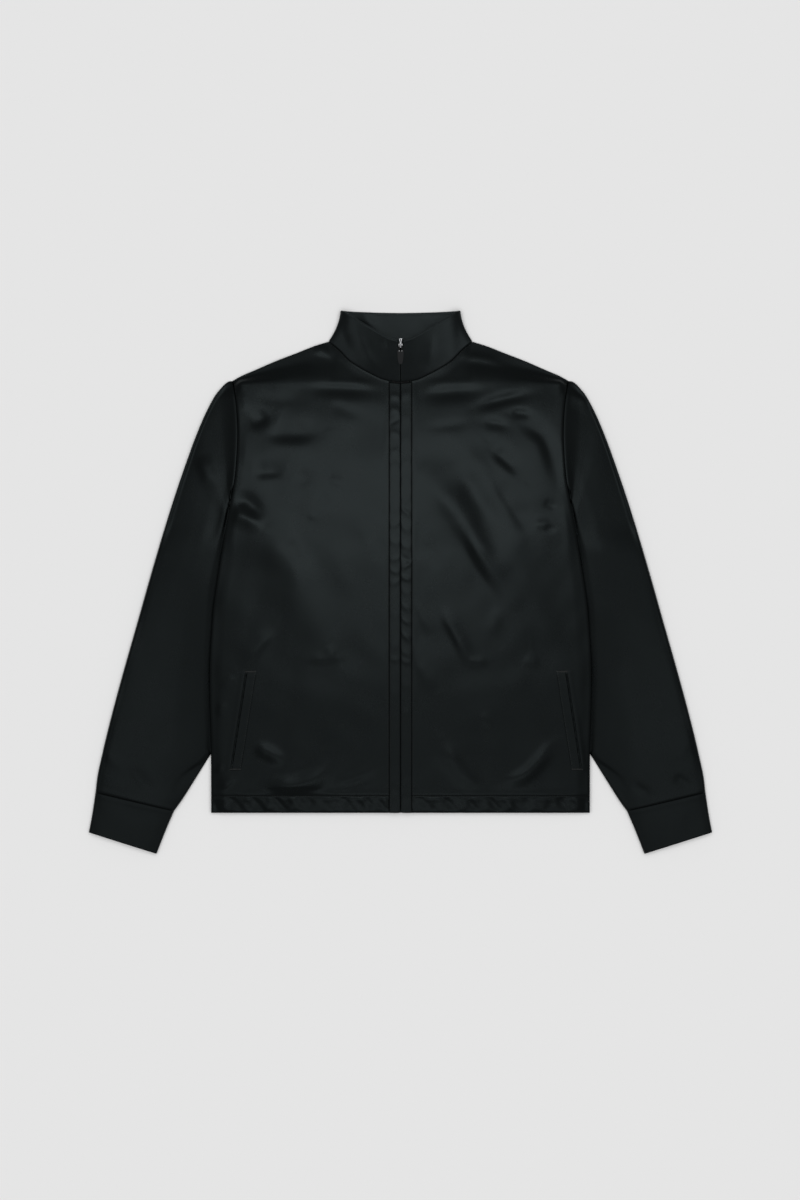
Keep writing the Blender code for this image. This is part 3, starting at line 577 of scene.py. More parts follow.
def bridge_material(name, color, body, roughness):
    """Polished metal on the slider's bridge, and black metal below it."""
    made = plain_material(name, color, roughness, metallic=1, relief=0.05)
    tree = made.node_tree
    place = add_node(tree, "ShaderNodeTexCoord")
    parts = add_node(tree, "ShaderNodeSeparateXYZ")
    limits = {"From Min": (BRIDGE_LOW - 0.03) * MM, "From Max": (BRIDGE_LOW + 0.03) * MM}
    level = add_node(tree, "ShaderNodeMapRange", limits)
    link_all(
        tree,
        (place.outputs["Object"], parts.inputs["Vector"]),
        (parts.outputs["Z"], level.inputs["Value"]),
    )
    shade = add_ramp(tree, level.outputs["Result"], body, color)
    tree.links.new(shade, tree.nodes["Principled BSDF"].inputs["Base Color"])
    return made


BODY_KNIT = knit_material("body_knit", (0.0026, 0.0031, 0.0032), 0.28, 0.20)
TRIM_KNIT = knit_material("trim_knit", (0.0034, 0.0040, 0.0042), 0.36, 0.20, wale=1.1)
TAPE_CLOTH = plain_material("zip_tape", (0.004, 0.0045, 0.005), 0.85, grain_scale=900)
COIL_PLASTIC = plain_material("coil_plastic", (0.010, 0.011, 0.012), 0.45)
THREAD = plain_material("thread", (0.014, 0.016, 0.016), 0.42)
METAL = plain_material("slider_metal", (0.62, 0.63, 0.65), 0.22, metallic=1, relief=0.05)
SLIDER_METAL = bridge_material("slider_finish", (0.62, 0.63, 0.65), (0.025, 0.025, 0.026), 0.28)
RUBBER = plain_material("tab_rubber", (0.011, 0.012, 0.013), 0.5, specular=0.25)


# ---- meshes
def mesh_object(name, points, faces, material, uvs):
    """A smooth mesh from points in millimetres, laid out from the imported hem."""
    points = points + np.array([0, SHIFT_Y, 0])
    mesh = bpy.data.meshes.new(name)
    mesh.from_pydata((points * MM).tolist(), [], [tuple(face) for face in faces])
    layer = mesh.uv_layers.new(name="cloth")
    corners = np.empty(len(mesh.loops), dtype=np.int32)
    mesh.loops.foreach_get("vertex_index", corners)
    layer.data.foreach_set("uv", (uvs[corners] * MM).ravel())
    mesh.materials.append(material)
    mesh.shade_smooth()
    mesh.update()
    return put_in_scene(name, mesh)


def grid_faces(rows, columns, wrap, start, flip):
    spans = columns if wrap else columns - 1
    i, j = np.meshgrid(np.arange(rows - 1), np.arange(spans), indexing="ij")
    k = (j + 1) % columns
    row = i * columns
    above = row + columns
    quad = np.stack([row + j, row + k, above + k, above + j], -1).reshape(-1, 4) + start
    return quad[:, ::-1] if flip else quad


def wall_object(name, upper, lower, material, tube=False):
    """Two matching grids of points closed into one thin wall with outward faces."""
    rows, columns = upper.shape[:2]
    count = rows * columns
    faces = [grid_faces(rows, columns, tube, 0, False)]
    faces.append(grid_faces(rows, columns, tube, count, True))
    spans = columns if tube else columns - 1
    j = np.arange(spans)
    k = (j + 1) % columns
    first = np.stack([j, j + count, k + count, k], -1)
    base = (rows - 1) * columns
    last = np.stack([base + j, base + k, base + k + count, base + j + count], -1)
    faces += [first, last]
    if not tube:
        i = np.arange(rows - 1) * columns
        faces.append(np.stack([i, i + columns, i + columns + count, i + count], -1))
        e = i + columns - 1
        faces.append(np.stack([e, e + count, e + columns + count, e + columns], -1))
    faces = np.concatenate(faces)
    points = np.concatenate([upper.reshape(-1, 3), lower.reshape(-1, 3)])
    a, b, c, d = [points[faces[:, n]] for n in range(4)]
    volume = np.einsum("ij,ij->", a, np.cross(b, c)) + np.einsum("ij,ij->", a, np.cross(c, d))
    if volume < 0:
        faces = faces[:, ::-1]
    across = np.zeros((rows, columns))
    across[:, 1:] = np.cumsum(np.linalg.norm(np.diff(upper, axis=1), axis=2), axis=1)
    along = np.zeros((rows, columns))
    along[1:] = np.cumsum(np.linalg.norm(np.diff(upper, axis=0), axis=2), axis=0)
    uv = np.stack([across, along], -1).reshape(-1, 2)
    return mesh_object(name, points, faces.tolist(), material, np.concatenate([uv, uv]))


def grid_normals(grid):
    """Unit normals of a grid of points."""
    normal = np.cross(np.gradient(grid, axis=1), np.gradient(grid, axis=0))
    return normal / np.maximum(np.linalg.norm(normal, axis=2, keepdims=True), 1.0e-9)


def sided_wall(side, name, upper, lower, material, tube=False):
    """A wall laid out for the right, and turned over for the left."""
    turn = np.array([SIGN[side], 1, 1])
    return wall_object(name, upper * turn, lower * turn, material, tube)


def lowered(upper, depth):
    """The same grid of points, a little lower."""
    return upper - np.array([0, 0, depth])


# ---- fronts and back
def panel_rows(spacing):
    """Rows of a body panel: y below the armpit, a share of the way to the seams above it."""
    low = np.arange(HEM_Y, ARMPIT_Y, spacing)
    near_seam = HEM_LINE_Y + np.arange(-3.2, 3.3, 0.4)
    low = np.concatenate([low[np.abs(low - HEM_LINE_Y) > 3.6], near_seam])
    high = np.linspace(ARMPIT_Y, SHOULDER_Y, int((SHOULDER_Y - ARMPIT_Y) / spacing) + 1)
    near_top = SHOULDER_Y - np.array([0.35, 0.8, 1.2, 1.6, 2.8])
    return np.unique(np.concatenate([low, high, near_top]).round(4))


def top_seam(x, neck, out=1):
    """Top edge of a panel, its neck seam and then its shoulder seam: y, or height if out is 2."""
    return np.where(x < NECK_POINT_X, smooth(neck, x, 0, out), smooth(SHOULDER_SEAM, x, 0, out))


def panel_y(y_row, top):
    """Rows above the armpit are spread evenly up to the top seam."""
    share = (y_row - ARMPIT_Y) / (SHOULDER_Y - ARMPIT_Y)
    return np.where(y_row > ARMPIT_Y, mix(ARMPIT_Y, top, share), y_row)


def front_shares(spacing):
    """Columns of a front as shares of its width, with one on the neck point."""
    corner = (NECK_POINT_X - BAND_EDGE_X) / (SHOULDER_X - BAND_EDGE_X)
    inner = np.linspace(0, corner, int((NECK_POINT_X - BAND_EDGE_X) / spacing) + 1)
    outer = np.linspace(corner, 1, int((SHOULDER_X - NECK_POINT_X) / spacing) + 1)
    near_seam = np.array([0.3, 0.6, 0.9, 1.3, 1.8]) / (SHOULDER_X - BAND_EDGE_X)
    return np.concatenate([inner[:1], near_seam, inner[1:], outer[1:]])


def slit_at(side, y):
    top, end = SLIT_X[side]
    return mix(top, end, (POCKET_TOP_Y - y) / (POCKET_TOP_Y - POCKET_END_Y))


def front_height(side, x, y, edge_y, outer, top_z):
    """Upper face of a front; x is measured outward on either side."""
    # Level at the middle, and rolled down over the last one or two centimetres at the side
    across = (x - BAND_EDGE_X) / (outer - BAND_EDGE_X)
    roll = mix(*ROLL_START, ease((y - 30) / 60))
    z = mix(BODY_LOFT, smooth(FRONT_EDGE, edge_y), ease((across - roll) / (1 - roll)))
    # Down to the neck and shoulder seams
    top = top_seam(x, NECK_SEAM)
    start = np.minimum(BREAK_Y, top - 10)
    z = mix(z, top_z, ease((y - start) / (0.75 * np.maximum(top - start, 1)))) + CLOTH
    depth = mix(LOW_DEPTH, CHEST_DEPTH, ease((y + 90) / 60))
    soft = crease_field(SIGN[side] * x, y, FRONT_CREASES[side]) * depth
    soft += ripple(SIGN[side] * x, y, RIPPLE_SEEDS["front"][side], FRONT_RIPPLE)
    # A shallow hollow below the neck seam, beyond the turned edge
    neck = top - y
    by_neck = ease((NECK_POINT_X + 4 - x) / 10)
    hollow = 0.7 * ease((y - BREAK_Y) / 10) * ease((neck - NECK_TURN) / 14)
    hollow += 0.6 * np.clip(neck / NECK_TURN, 0, 1) * ease((26 - neck) / 22)
    z -= hollow * by_neck
    fade = ease((outer - x) / 14) * ease((x - BAND_EDGE_X) / 10) * ease((y - HEM_LINE_Y) / 14)
    z += soft * fade
    z += seam_dip(x - BAND_EDGE_X, 0.3, 0.9, 0.25)
    z += seam_dip(y - HEM_LINE_Y, 0.8, 0.8, 0.45)
    z += hem_puckers(SIGN[side] * x, y) * ease((outer - x) / 8)
    # A slight swell beyond the pocket's slit
    in_pocket = ease((POCKET_TOP_Y + 2 - y) / 3) * ease((y - POCKET_END_Y + 8) / 3)
    slit_off = x - slit_at(side, y)
    z += in_pocket * 0.6 * np.exp(-(((slit_off - 5) / 3) ** 2))
    z -= rounded_edge(outer - x, SIDE_ROUND, SIDE_DROP)
    return z - rounded_edge(y - HEM_Y, HEM_ROUND, HEM_DROP)


def hem_puckers(x, y):
    """The turned hem: a little proud towards its edge and drawn up unevenly by the stitches."""
    share = (HEM_LINE_Y - y) / (HEM_LINE_Y - HEM_Y)
    inside = ease(share / 0.12)
    wave = np.zeros_like(x)
    dice = np.random.default_rng(HEM_SEED)
    for _ in range(14):
        length = dice.uniform(14, 60)
        lean = dice.uniform(-0.8, 0.8)
        height = dice.uniform(0.03, 0.10)
        phase = dice.uniform(0, 6.3)
        wave += height * np.sin((x + lean * y) * 2 * math.pi / length + phase)
    return inside * (-HEM_FALL * share + wave * ease(share / 0.2) * ease((1 - share) / 0.3) * 3.6)


def make_front(side):
    rows = panel_rows(FRONT_SPACING)
    y_row, share = np.meshgrid(rows, front_shares(FRONT_SPACING), indexing="ij")
    outer = side_x(y_row)
    x = mix(BAND_EDGE_X + 0.15, outer, share)
    top_x = mix(BAND_EDGE_X, SHOULDER_X, share)
    y = panel_y(y_row, top_seam(top_x, NECK_SEAM))
    z = front_height(side, x, y, y_row, outer, top_seam(top_x, NECK_SEAM, 2))
    # Under the welt the front lies lower, so that the pocket's mouth is deep
    slit_off = x - slit_at(side, y)
    mouth = ease((POCKET_TOP_Y - 2 - y) / 4) * ease((y - POCKET_END_Y) / 4)
    z -= MOUTH_DEPTH * mouth * ease((slit_off + 12.5) / 4) * ease((2.6 - slit_off) / 2.4)
    upper = np.stack([x, y, z], -1)
    lower = lowered(upper, CLOTH)
    front = sided_wall(side, side + "_front_knit", upper, lower, BODY_KNIT)
    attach(front, "garment")
    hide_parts(side + "_front")


def band_surface(side, x, y):
    """Upper face of a front band, rounded over the zip and drawn up by its stitching."""
    share = np.clip(x / (BAND_EDGE_X - 0.2), 0, 1)
    z = BODY_LOFT + CLOTH + 0.7 * np.sin(math.pi * np.clip(share, 0.04, 0.96)) ** 0.6
    z -= 0.25 * np.exp(-(x ** 2)) + 0.35 * np.exp(-(((x - BAND_EDGE_X) / 0.9) ** 2))
    for place, strength, wide, lean in BAND_PUCKERS[side]:
        long_way = (y - place) - lean * (x - 8)
        z += strength * np.exp(-((long_way / wide) ** 2)) * np.sin(math.pi * share) ** 0.8
    return z


def make_band(side):
    y = np.arange(HEM_Y, 289, 1.4)
    share = np.linspace(0, 1, 25)
    y, share = np.meshgrid(y, share, indexing="ij")
    inner = mix(2.6, 0.35, ease((y - HEM_Y) / 3.4))
    x = mix(inner, BAND_EDGE_X - 0.1, share)
    y = y + ease((y - 262) / 26) * (smooth(NECK_SEAM, x) - 289.2)
    z = band_surface(side, x, y)
    z = z - rounded_edge(y - HEM_Y, HEM_ROUND, HEM_DROP)
    upper = np.stack([x, y, z], -1)
    lower = lowered(upper, CLOTH)
    band = sided_wall(side, side + "_band_knit", upper, lower, BODY_KNIT)
    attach(band, "garment")
    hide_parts(side + "_front_band")


def make_back():
    corner = NECK_POINT_X / SHOULDER_X
    half = np.concatenate([np.linspace(0, corner, 22), np.linspace(corner, 1, 30)[1:]])
    shares = np.concatenate([-half[:0:-1], half])
    y_row, share = np.meshgrid(panel_rows(BACK_SPACING), shares, indexing="ij")
    size = np.abs(share)
    outer = side_x(y_row)
    x = outer * size
    y = panel_y(y_row, top_seam(SHOULDER_X * size, BACK_NECK))
    start = smooth(TUCK_FOLD, y) - RAMP_MARGIN - RAMP_WIDTH
    lift = LIFT * ease((x - start) / RAMP_WIDTH) * ease((y + 290) / 38)
    lift *= 1 - ease((y - 122) / 18)
    lower = np.stack([x * np.sign(share), y, lift], -1)
    hem = np.where(y < HEM_LINE_Y, 1, 0)
    upper = lower + np.stack([np.zeros_like(x), np.zeros_like(x), CLOTH + hem], -1)
    back = wall_object("back_knit", upper, lower, BODY_KNIT)
    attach(back, "garment")
    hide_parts("back_panel")


# ---- pocket welts
def make_welt(side):
    """Welt along the slit: its rounded face, the narrow mouth and the lip beyond it."""
    y = np.arange(POCKET_END_Y - 6, POCKET_TOP_Y + 1.5, 1.2)
    profile = np.array(WELT_PROFILE)
    y, off = np.meshgrid(y, profile[:, 0], indexing="ij")
    raised = np.broadcast_to(profile[:, 1], y.shape)
    x = slit_at(side, y) + off
    z = front_height(side, x, y, y, side_x(y), np.zeros_like(y))
    open_mouth = ease((y - POCKET_END_Y + 1) / 3) * ease((POCKET_TOP_Y - 3 - y) / 3)
    raised = np.where(raised < WELT_RISE, mix(WELT_RISE, raised, open_mouth), raised)
    wave = 0.22 * np.sin((y + off) / 3.1) * np.sin(y / 7.3 + 1) * np.exp(-(((off + 12) / 3) ** 2))
    ends = ease((y - POCKET_END_Y + 6) / 2) * ease((POCKET_TOP_Y + 1.5 - y) / 2)
    top = z + 0.12 + 0.1 * ends + raised * mix(0.4, 1, ends) + wave
    upper = np.stack([x, y, top], -1)
    lower = np.stack([x, y, z - 0.75 + np.minimum(raised + 0.5, 0)], -1)
    welt = sided_wall(side, side + "_welt_knit", upper, lower, BODY_KNIT)
    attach(welt, "garment")
    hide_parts(side + "_pocket_welt")


# ---- sleeves and cuffs
def section_points(outer, cross, inner):
    """Twelve points from the inner fold, by the body's side, to the outer fold."""
    outer, cross, inner = [np.array(p, dtype=float) for p in (outer, cross, inner)]
    hidden = np.linalg.norm(cross - inner)
    free = np.linalg.norm(outer - cross)
    inset = min(3, 0.35 * hidden) / hidden
    points = [inner, mix(inner, cross, inset), mix(inner, cross, 0.6), cross]
    stops = [8] + [mix(8, free - 12, s) for s in (0.2, 0.4, 0.6, 0.8)] + [free - 12, free - 3, free]
    return points + [mix(cross, outer, stop / free) for stop in stops]


def sleeve_controls():
    """Plan points and heights of the sleeve's sections, from the armhole to the cuff."""
    stops = np.array(ARMHOLE_STOPS)
    stretch = (TIP_Y - ARMPIT_Y) / (SHOULDER_Y - ARMPIT_Y)
    plan = np.stack([smooth(ARMHOLE, stops) - SEAM_LAP, mix(ARMPIT_Y, stops, stretch)], -1)
    points = [plan]
    heights = [np.where(stops <= 122, TUCKED_SLEEVE, smooth(FRONT_EDGE, stops) - 0.2)]
    points.append(plan + np.array([2.6, 0]))
    heights.append(np.where(stops <= 122, TUCKED_SLEEVE, smooth(FRONT_EDGE, stops) + CLOTH))
    for outer_y, cross_y, inner_x, inner_y, tucked in SLEEVE_SECTIONS:
        outer = np.array([float(smooth(SLEEVE_OUTER, outer_y)), outer_y])
        inner = np.array([inner_x, inner_y])
        cross = mix(inner, outer, 0.12)
        if tucked >= 1:
            cross = np.array([float(side_x(np.array(cross_y))) + 1.2, cross_y])
        points.append(np.array(section_points(outer, cross, inner)))
        loft = mix(CUFF_LOFT, SLEEVE_LOFT, ease((outer_y + 304.5) / 60))
        loft *= mix(1, 0.8, ease((outer_y - 200) / 74))
        height = loft * mix(np.array(FREE_PROFILE), np.array(TUCKED_PROFILE), tucked)
        if tucked >= 1:
            height[:4] = TUCKED_SLEEVE
        heights.append(height)
    return np.array(points), np.array(heights)


def cuff_controls():
    points = []
    for outer_x, outer_y, inner_x, inner_y in CUFF_LINES:
        outer = np.array([outer_x, outer_y])
        inner = np.array([inner_x, inner_y])
        points.append(np.array(section_points(outer, mix(inner, outer, 0.12), inner)))
    heights = np.array([CUFF_LOFT * np.array(FREE_PROFILE)] * len(CUFF_LINES))
    points = np.array(points)
    up = points[0] - points[1]
    up = up / np.linalg.norm(up, axis=1, keepdims=True)
    points[0] += SEAM_LAP * up
    return points, heights


def fold_round(distance, radius):
    """How far a face has come round a fold at a distance from the fold's edge."""
    inside = np.clip(radius - distance, 0, radius)
    return radius - np.sqrt(np.maximum(radius ** 2 - inside ** 2, 0))


def flat_tube(points, heights, fineness, thickness, detail):
    """Outer and inner rings of a flattened tube that lies on the ground."""
    rows, across = fineness
    reach = reach_along(points[:, 6])
    stops = np.linspace(0, reach[-1], rows)
    points = smooth_through(reach, points, stops)
    heights = smooth_through(reach, heights, stops)
    turn = np.linspace(0, 1, across)
    spread = mix(turn, 0.5 - 0.5 * np.cos(math.pi * turn), 0.55)
    rings = []
    inner_rings = []
    for row, (line, height) in enumerate(zip(points, heights)):
        run = reach_along(line)
        at = spread * run[-1]
        plan = smooth_through(run, line, at)
        tall = smooth_through(run, height, at)
        first = 0.5 * min(height[0], height[1])
        last = 0.5 * min(height[-1], height[-2])
        lost = fold_round(at, first) + fold_round(run[-1] - at, last)
        free = ease(at / 10) * ease((run[-1] - at) / 10)
        top = tall - lost + detail(plan[:, 0], plan[:, 1], row / (rows - 1)) * free
        upper = np.stack([plan[:, 0], plan[:, 1], top], -1)
        lower = np.stack([plan[:, 0], plan[:, 1], lost], -1)
        rings.append(np.concatenate([upper, lower[-2:0:-1]]))
        inset = thickness + at * (1 - 2 * thickness / run[-1])
        plan = smooth_through(run, line, inset)
        roof = np.interp(inset, at, top) - thickness
        base = np.interp(inset, at, lost) + thickness
        middle = 0.5 * (roof + base)
        upper = np.stack([plan[:, 0], plan[:, 1], np.maximum(roof, middle + 0.05)], -1)
        lower = np.stack([plan[:, 0], plan[:, 1], np.minimum(base, middle - 0.05)], -1)
        inner_rings.append(np.concatenate([upper, lower[-2:0:-1]]))
    return np.array(rings), np.array(inner_rings)


def make_tube(name, side, node, rings, material):
    piece = sided_wall(side, name, *rings, material, tube=True)
    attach(piece, "garment")
    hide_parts(node)


def make_sleeve(side):
    points, heights = sleeve_controls()

    def detail(x, y, share):
        body = side_x(y)
        clear = ease((x - body - 4) / 10)
        soft = crease_field(SIGN[side] * x, y, SLEEVE_CREASES[side])
        soft = soft + ripple(SIGN[side] * x, y, RIPPLE_SEEDS["sleeve"][side], SLEEVE_RIPPLE)
        off = x - body
        above = ease((y - 40) / 50)
        fall = above * SLEEVE_FALL * (1 - np.exp(-np.maximum(off, 0) / 15))
        ends = ease(share / 0.05) * ease((1 - share) / 0.03)
        along = share * SLEEVE_LENGTH
        seams = seam_dip(along, 0.3, 1.2, 0) + seam_dip(SLEEVE_LENGTH - along, 0.2, 0.8, 0.7)
        return clear * soft * ends + seams * clear - fall

    rings = flat_tube(points, heights, SLEEVE_GRID, CLOTH, detail)
    make_tube(side + "_sleeve_knit", side, side + "_sleeve", rings, BODY_KNIT)


def make_cuff(side):
    points, heights = cuff_controls()

    def detail(x, y, share):
        seam = seam_dip(share * CUFF_LENGTH, 0.35, 0.8, 0.3)
        return seam + ripple(SIGN[side] * x, y, RIPPLE_SEEDS["cuff"][side], TRIM_RIPPLE, 20, 60)

    rings = flat_tube(points, heights, CUFF_GRID, CUFF_WALL, detail)
    make_tube(side + "_cuff_knit", side, side + "_cuff", rings, TRIM_KNIT)


# ---- collar
COLLAR_ROWS = np.concatenate([np.linspace(0, 0.95, 34), 1 - np.geomspace(0.04, 0.001, 10), [1]])


def collar_grid():
    """Middle of the collar's wall, from one middle-front edge round to the other."""
    half = np.array(COLLAR_STATIONS)
    other = half[-2::-1] * np.array([-1, 1, 1, -1, 1, 1])
    stations = np.concatenate([half, other])
    seam = stations[:, :3]
    rim = stations[:, 3:]
    reach = reach_along(seam)
    stops = np.linspace(0, reach[-1], COLLAR_COLUMNS)
    seam = smooth_through(reach, seam, stops)
    rim = smooth_through(reach, rim, stops)
    share = COLLAR_ROWS[None, :, None]
    grid = seam[:, None] + (rim - seam)[:, None] * share
    share = share[..., 0]
    toward = (rim - seam)[:, None, :] / np.linalg.norm(rim - seam, axis=1)[:, None, None]
    grid = grid + toward * 0.45 * (1 - share[..., None])
    bend = ease((np.abs(seam[:, :1]) - 72) / 31.5)
    grid[..., 0] -= np.sign(seam[:, :1]) * COLLAR_WAIST * bend * 4 * share * (1 - share)
    front = (stops < 0.5 * reach[-1] - 40) | (stops > 0.5 * reach[-1] + 40)
    x = grid[..., 0]
    y = grid[..., 1]
    upper_side = (grid[..., 2] > 5) & front[:, None]
    opening = SLIDER_OPENING * ease((share - 0.74) / 0.08) * np.exp(-((x / 5) ** 2))
    grid[..., 0] += np.where(upper_side, np.sign(x) * opening, 0)
    soft = crease_field(x, y, COLLAR_CREASES)
    soft = soft + ripple(x, y, RIPPLE_SEEDS["collar"], TRIM_RIPPLE, 24, 80)
    under = crease_field(x, y, COLLAR_BACK_CREASES)
    under = under * ease((74 - np.abs(x)) / 14)
    grid[..., 2] += np.where(upper_side, soft, np.where(grid[..., 2] < 3, under, 0))
    return grid


def make_collar():
    grid = collar_grid()
    normal = grid_normals(grid)
    share = COLLAR_ROWS[None, :]
    off = (1 - share) * COLLAR_HEIGHT
    thick = 0.5 * COLLAR_WALL * np.minimum(1, RIM_WALL + (1 - RIM_WALL) * off / RIM_CHAMFER)
    thick = thick + 0.2 * np.exp(-(((off - 3) / 1.1) ** 2))
    thick = thick - 0.35 * np.exp(-((share * COLLAR_HEIGHT / 1.6) ** 2))
    offset = normal * thick[..., None]
    collar = wall_object("collar_knit", grid + offset, grid - offset, TRIM_KNIT)
    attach(collar, "garment")
    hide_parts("collar")


# ---- zip
TAPE_TOP = ((TAPE_LOW_Y, 8.7), (270, 8.7), (287, 8.1), (345.5, 15.3))


def tape_height(y):
    return np.interp(y, [row[0] for row in TAPE_TOP], [row[1] for row in TAPE_TOP])


def make_tape(side):
    y = np.arange(TAPE_LOW_Y, 345.6, 2.5)
    x = np.linspace(0.9, 13, 7)
    y, x = np.meshgrid(y, x, indexing="ij")
    z = tape_height(y) - 0.1 - 0.25 * np.exp(-(((x - 4) / 0.6) ** 2))
    upper = np.stack([x, y, z], -1)
    lower = lowered(upper, TAPE_WALL)
    tape = sided_wall(side, side + "_tape_cloth", upper, lower, TAPE_CLOTH)
    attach(tape, "garment")
    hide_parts(side + "_zip_tape")


# ---- stitches and teeth
def bead_tree():
    """Small rounded beads, laid end to end along a path: thread stitches or zip teeth."""
    tree = bpy.data.node_groups.new("beads_along_path", "GeometryNodeTree")
    face = tree.interface
    kinds = {"Geometry": "Geometry", "Pitch": "Float", "Length": "Float", "Width": "Float"}
    kinds.update({"Height": "Float", "Turn": "Float", "Seed": "Int", "Finish": "Material"})
    for name, kind in kinds.items():
        face.new_socket(name, in_out="INPUT", socket_type="NodeSocket" + kind)
    face.new_socket("Geometry", in_out="OUTPUT", socket_type="NodeSocketGeometry")
    given = add_node(tree, "NodeGroupInput").outputs
    made = add_node(tree, "NodeGroupOutput")
    spread = add_node(tree, "GeometryNodeCurveToPoints", mode="LENGTH")
    bead = add_node(tree, "GeometryNodeMeshUVSphere", {"Segments": 8, "Rings": 5, "Radius": 0.5})
    soft = add_node(tree, "GeometryNodeSetShadeSmooth")
    along = add_node(tree, "FunctionNodeAlignRotationToVector", axis="X")
    dice = add_node(tree, "FunctionNodeRandomValue", data_type="FLOAT")
    least = add_node(tree, "ShaderNodeMath", {1: -1}, operation="MULTIPLY")
    floats = [socket for socket in dice.inputs if socket.type == "VALUE"]
    value = [socket for socket in dice.outputs if socket.type == "VALUE"][0]
    angle = add_node(tree, "ShaderNodeCombineXYZ")
    twist = add_node(tree, "FunctionNodeRotateRotation", rotation_space="LOCAL")
    size = add_node(tree, "ShaderNodeCombineXYZ")
    place = add_node(tree, "GeometryNodeInstanceOnPoints")
    real = add_node(tree, "GeometryNodeRealizeInstances")
    finish = add_node(tree, "GeometryNodeSetMaterial")
    link_all(
        tree,
        (given["Geometry"], spread.inputs["Curve"]),
        (given["Pitch"], spread.inputs["Length"]),
        (bead.outputs["Mesh"], soft.inputs["Geometry"]),
        (spread.outputs["Tangent"], along.inputs["Vector"]),
        (given["Seed"], dice.inputs["Seed"]),
        (given["Turn"], least.inputs[0]),
        (least.outputs["Value"], floats[0]),
        (given["Turn"], floats[1]),
        (value, angle.inputs["Z"]),
        (along.outputs["Rotation"], twist.inputs["Rotation"]),
        (angle.outputs["Vector"], twist.inputs["Rotate By"]),
        (given["Length"], size.inputs["X"]),
        (given["Width"], size.inputs["Y"]),
        (given["Height"], size.inputs["Z"]),
        (spread.outputs["Points"], place.inputs["Points"]),
        (soft.outputs["Geometry"], place.inputs["Instance"]),
        (twist.outputs["Rotation"], place.inputs["Rotation"]),
        (size.outputs["Vector"], place.inputs["Scale"]),
        (place.outputs["Instances"], real.inputs["Geometry"]),
        (real.outputs["Geometry"], finish.inputs["Geometry"]),
        (given["Finish"], finish.inputs["Material"]),
        (finish.outputs["Geometry"], made.inputs["Geometry"]),
    )
    return tree


BEADS = bead_tree()
THREAD_BEAD = {"Pitch": 3.4, "Length": 2.9, "Width": 0.42, "Height": 0.36}
TOOTH_BEAD = {"Pitch": 1.5, "Length": 0.85, "Width": 2.4, "Height": 1.1}


def beads(name, paths, sizes, material, seed):
    """Beads along several paths in millimetres, made into one mesh on the garment."""
    curve = bpy.data.curves.new(name + "_path", "CURVE")
    curve.dimensions = "3D"
    for path in paths:
        path = (np.asarray(path, dtype=float) + np.array([0, SHIFT_Y, 0])) * MM
        line = curve.splines.new("POLY")
        line.points.add(len(path) - 1)
        line.points.foreach_set("co", np.column_stack([path, np.ones(len(path))]).ravel())
    maker = put_in_scene(name + "_path", curve)
    added = maker.modifiers.new("beads", "NODES")
    added.node_group = BEADS
    values = {key: value * MM for key, value in sizes.items()}
    values.update({"Turn": 0.05, "Seed": seed, "Finish": material})
    for socket in BEADS.interface.items_tree:
        if socket.in_out == "INPUT" and socket.name in values:
            added[socket.identifier] = values[socket.name]
    bpy.context.view_layer.update()
    seen = maker.evaluated_get(bpy.context.evaluated_depsgraph_get())
    mesh = bpy.data.meshes.new_from_object(seen)
    mesh.name = name
    bpy.data.objects.remove(maker)
    bpy.data.curves.remove(curve)
    piece = put_in_scene(name, mesh)
    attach(piece, "garment")
    return piece


def sided(side, x, y, z):
    return np.stack([SIGN[side] * x, y, z], -1)


def on_front(side, x, y):
    """Points on a front's upper face, below the armpit or on its flat chest."""
    x = np.broadcast_to(x, y.shape).astype(float)
    top = top_seam(x, NECK_SEAM)
    row = ARMPIT_Y + (y - ARMPIT_Y) / np.maximum(top - ARMPIT_Y, 1) * (SHOULDER_Y - ARMPIT_Y)
    edge_y = np.where(y > ARMPIT_Y, row, y)
    z = front_height(side, x, y, edge_y, side_x(edge_y), top_seam(x, NECK_SEAM, 2))
    return sided(side, x, y, z + 0.06)


def make_stitches(side, number):
    """Topstitching of the hem, bands, welt and neck on one side."""
    down = np.arange(HEM_Y + 3, 287, 2)
    edge = np.full(down.shape, BAND_EDGE_X - 1.6)
    paths = [sided(side, edge, down, band_surface(side, edge, down) + 0.05)]
    paths.append(on_front(side, np.full(down.shape, BAND_EDGE_X + 1.5), down))
    across = np.arange(BAND_EDGE_X + 3, 268, 2)
    paths.append(on_front(side, across, np.full(across.shape, HEM_LINE_Y)))
    beads(side + "_edge_stitches", paths, THREAD_BEAD, THREAD, number)
    across = np.arange(BAND_EDGE_X + 1, NECK_POINT_X - 3, 2)
    neck = on_front(side, across, smooth(NECK_SEAM, across) - 2.2)
    y = np.arange(POCKET_END_Y - 4, POCKET_TOP_Y, 2)
    line = on_front(side, slit_at(side, y) - 12.2, y)
    line[:, 2] += 0.85
    name = side + "_neck_and_welt_stitches"
    beads(name, [neck, line], THREAD_BEAD, THREAD, number + 1)
    bars = []
    for end in (POCKET_TOP_Y, POCKET_END_Y - 4.5):
        x = slit_at(side, np.array(end)) + np.arange(-13, 2.6, 0.5)
        line = on_front(side, x, np.full(x.shape, end))
        line[:, 2] += 0.8
        line[:, 1] += 0.5 * np.sin(np.arange(len(x)) * math.pi * 0.5)
        bars.append(line)
    bar_bead = dict(THREAD_BEAD, Pitch=0.55, Length=0.6, Width=2.4, Height=0.5)
    beads(side + "_bar_tacks", bars, bar_bead, THREAD, number + 2)


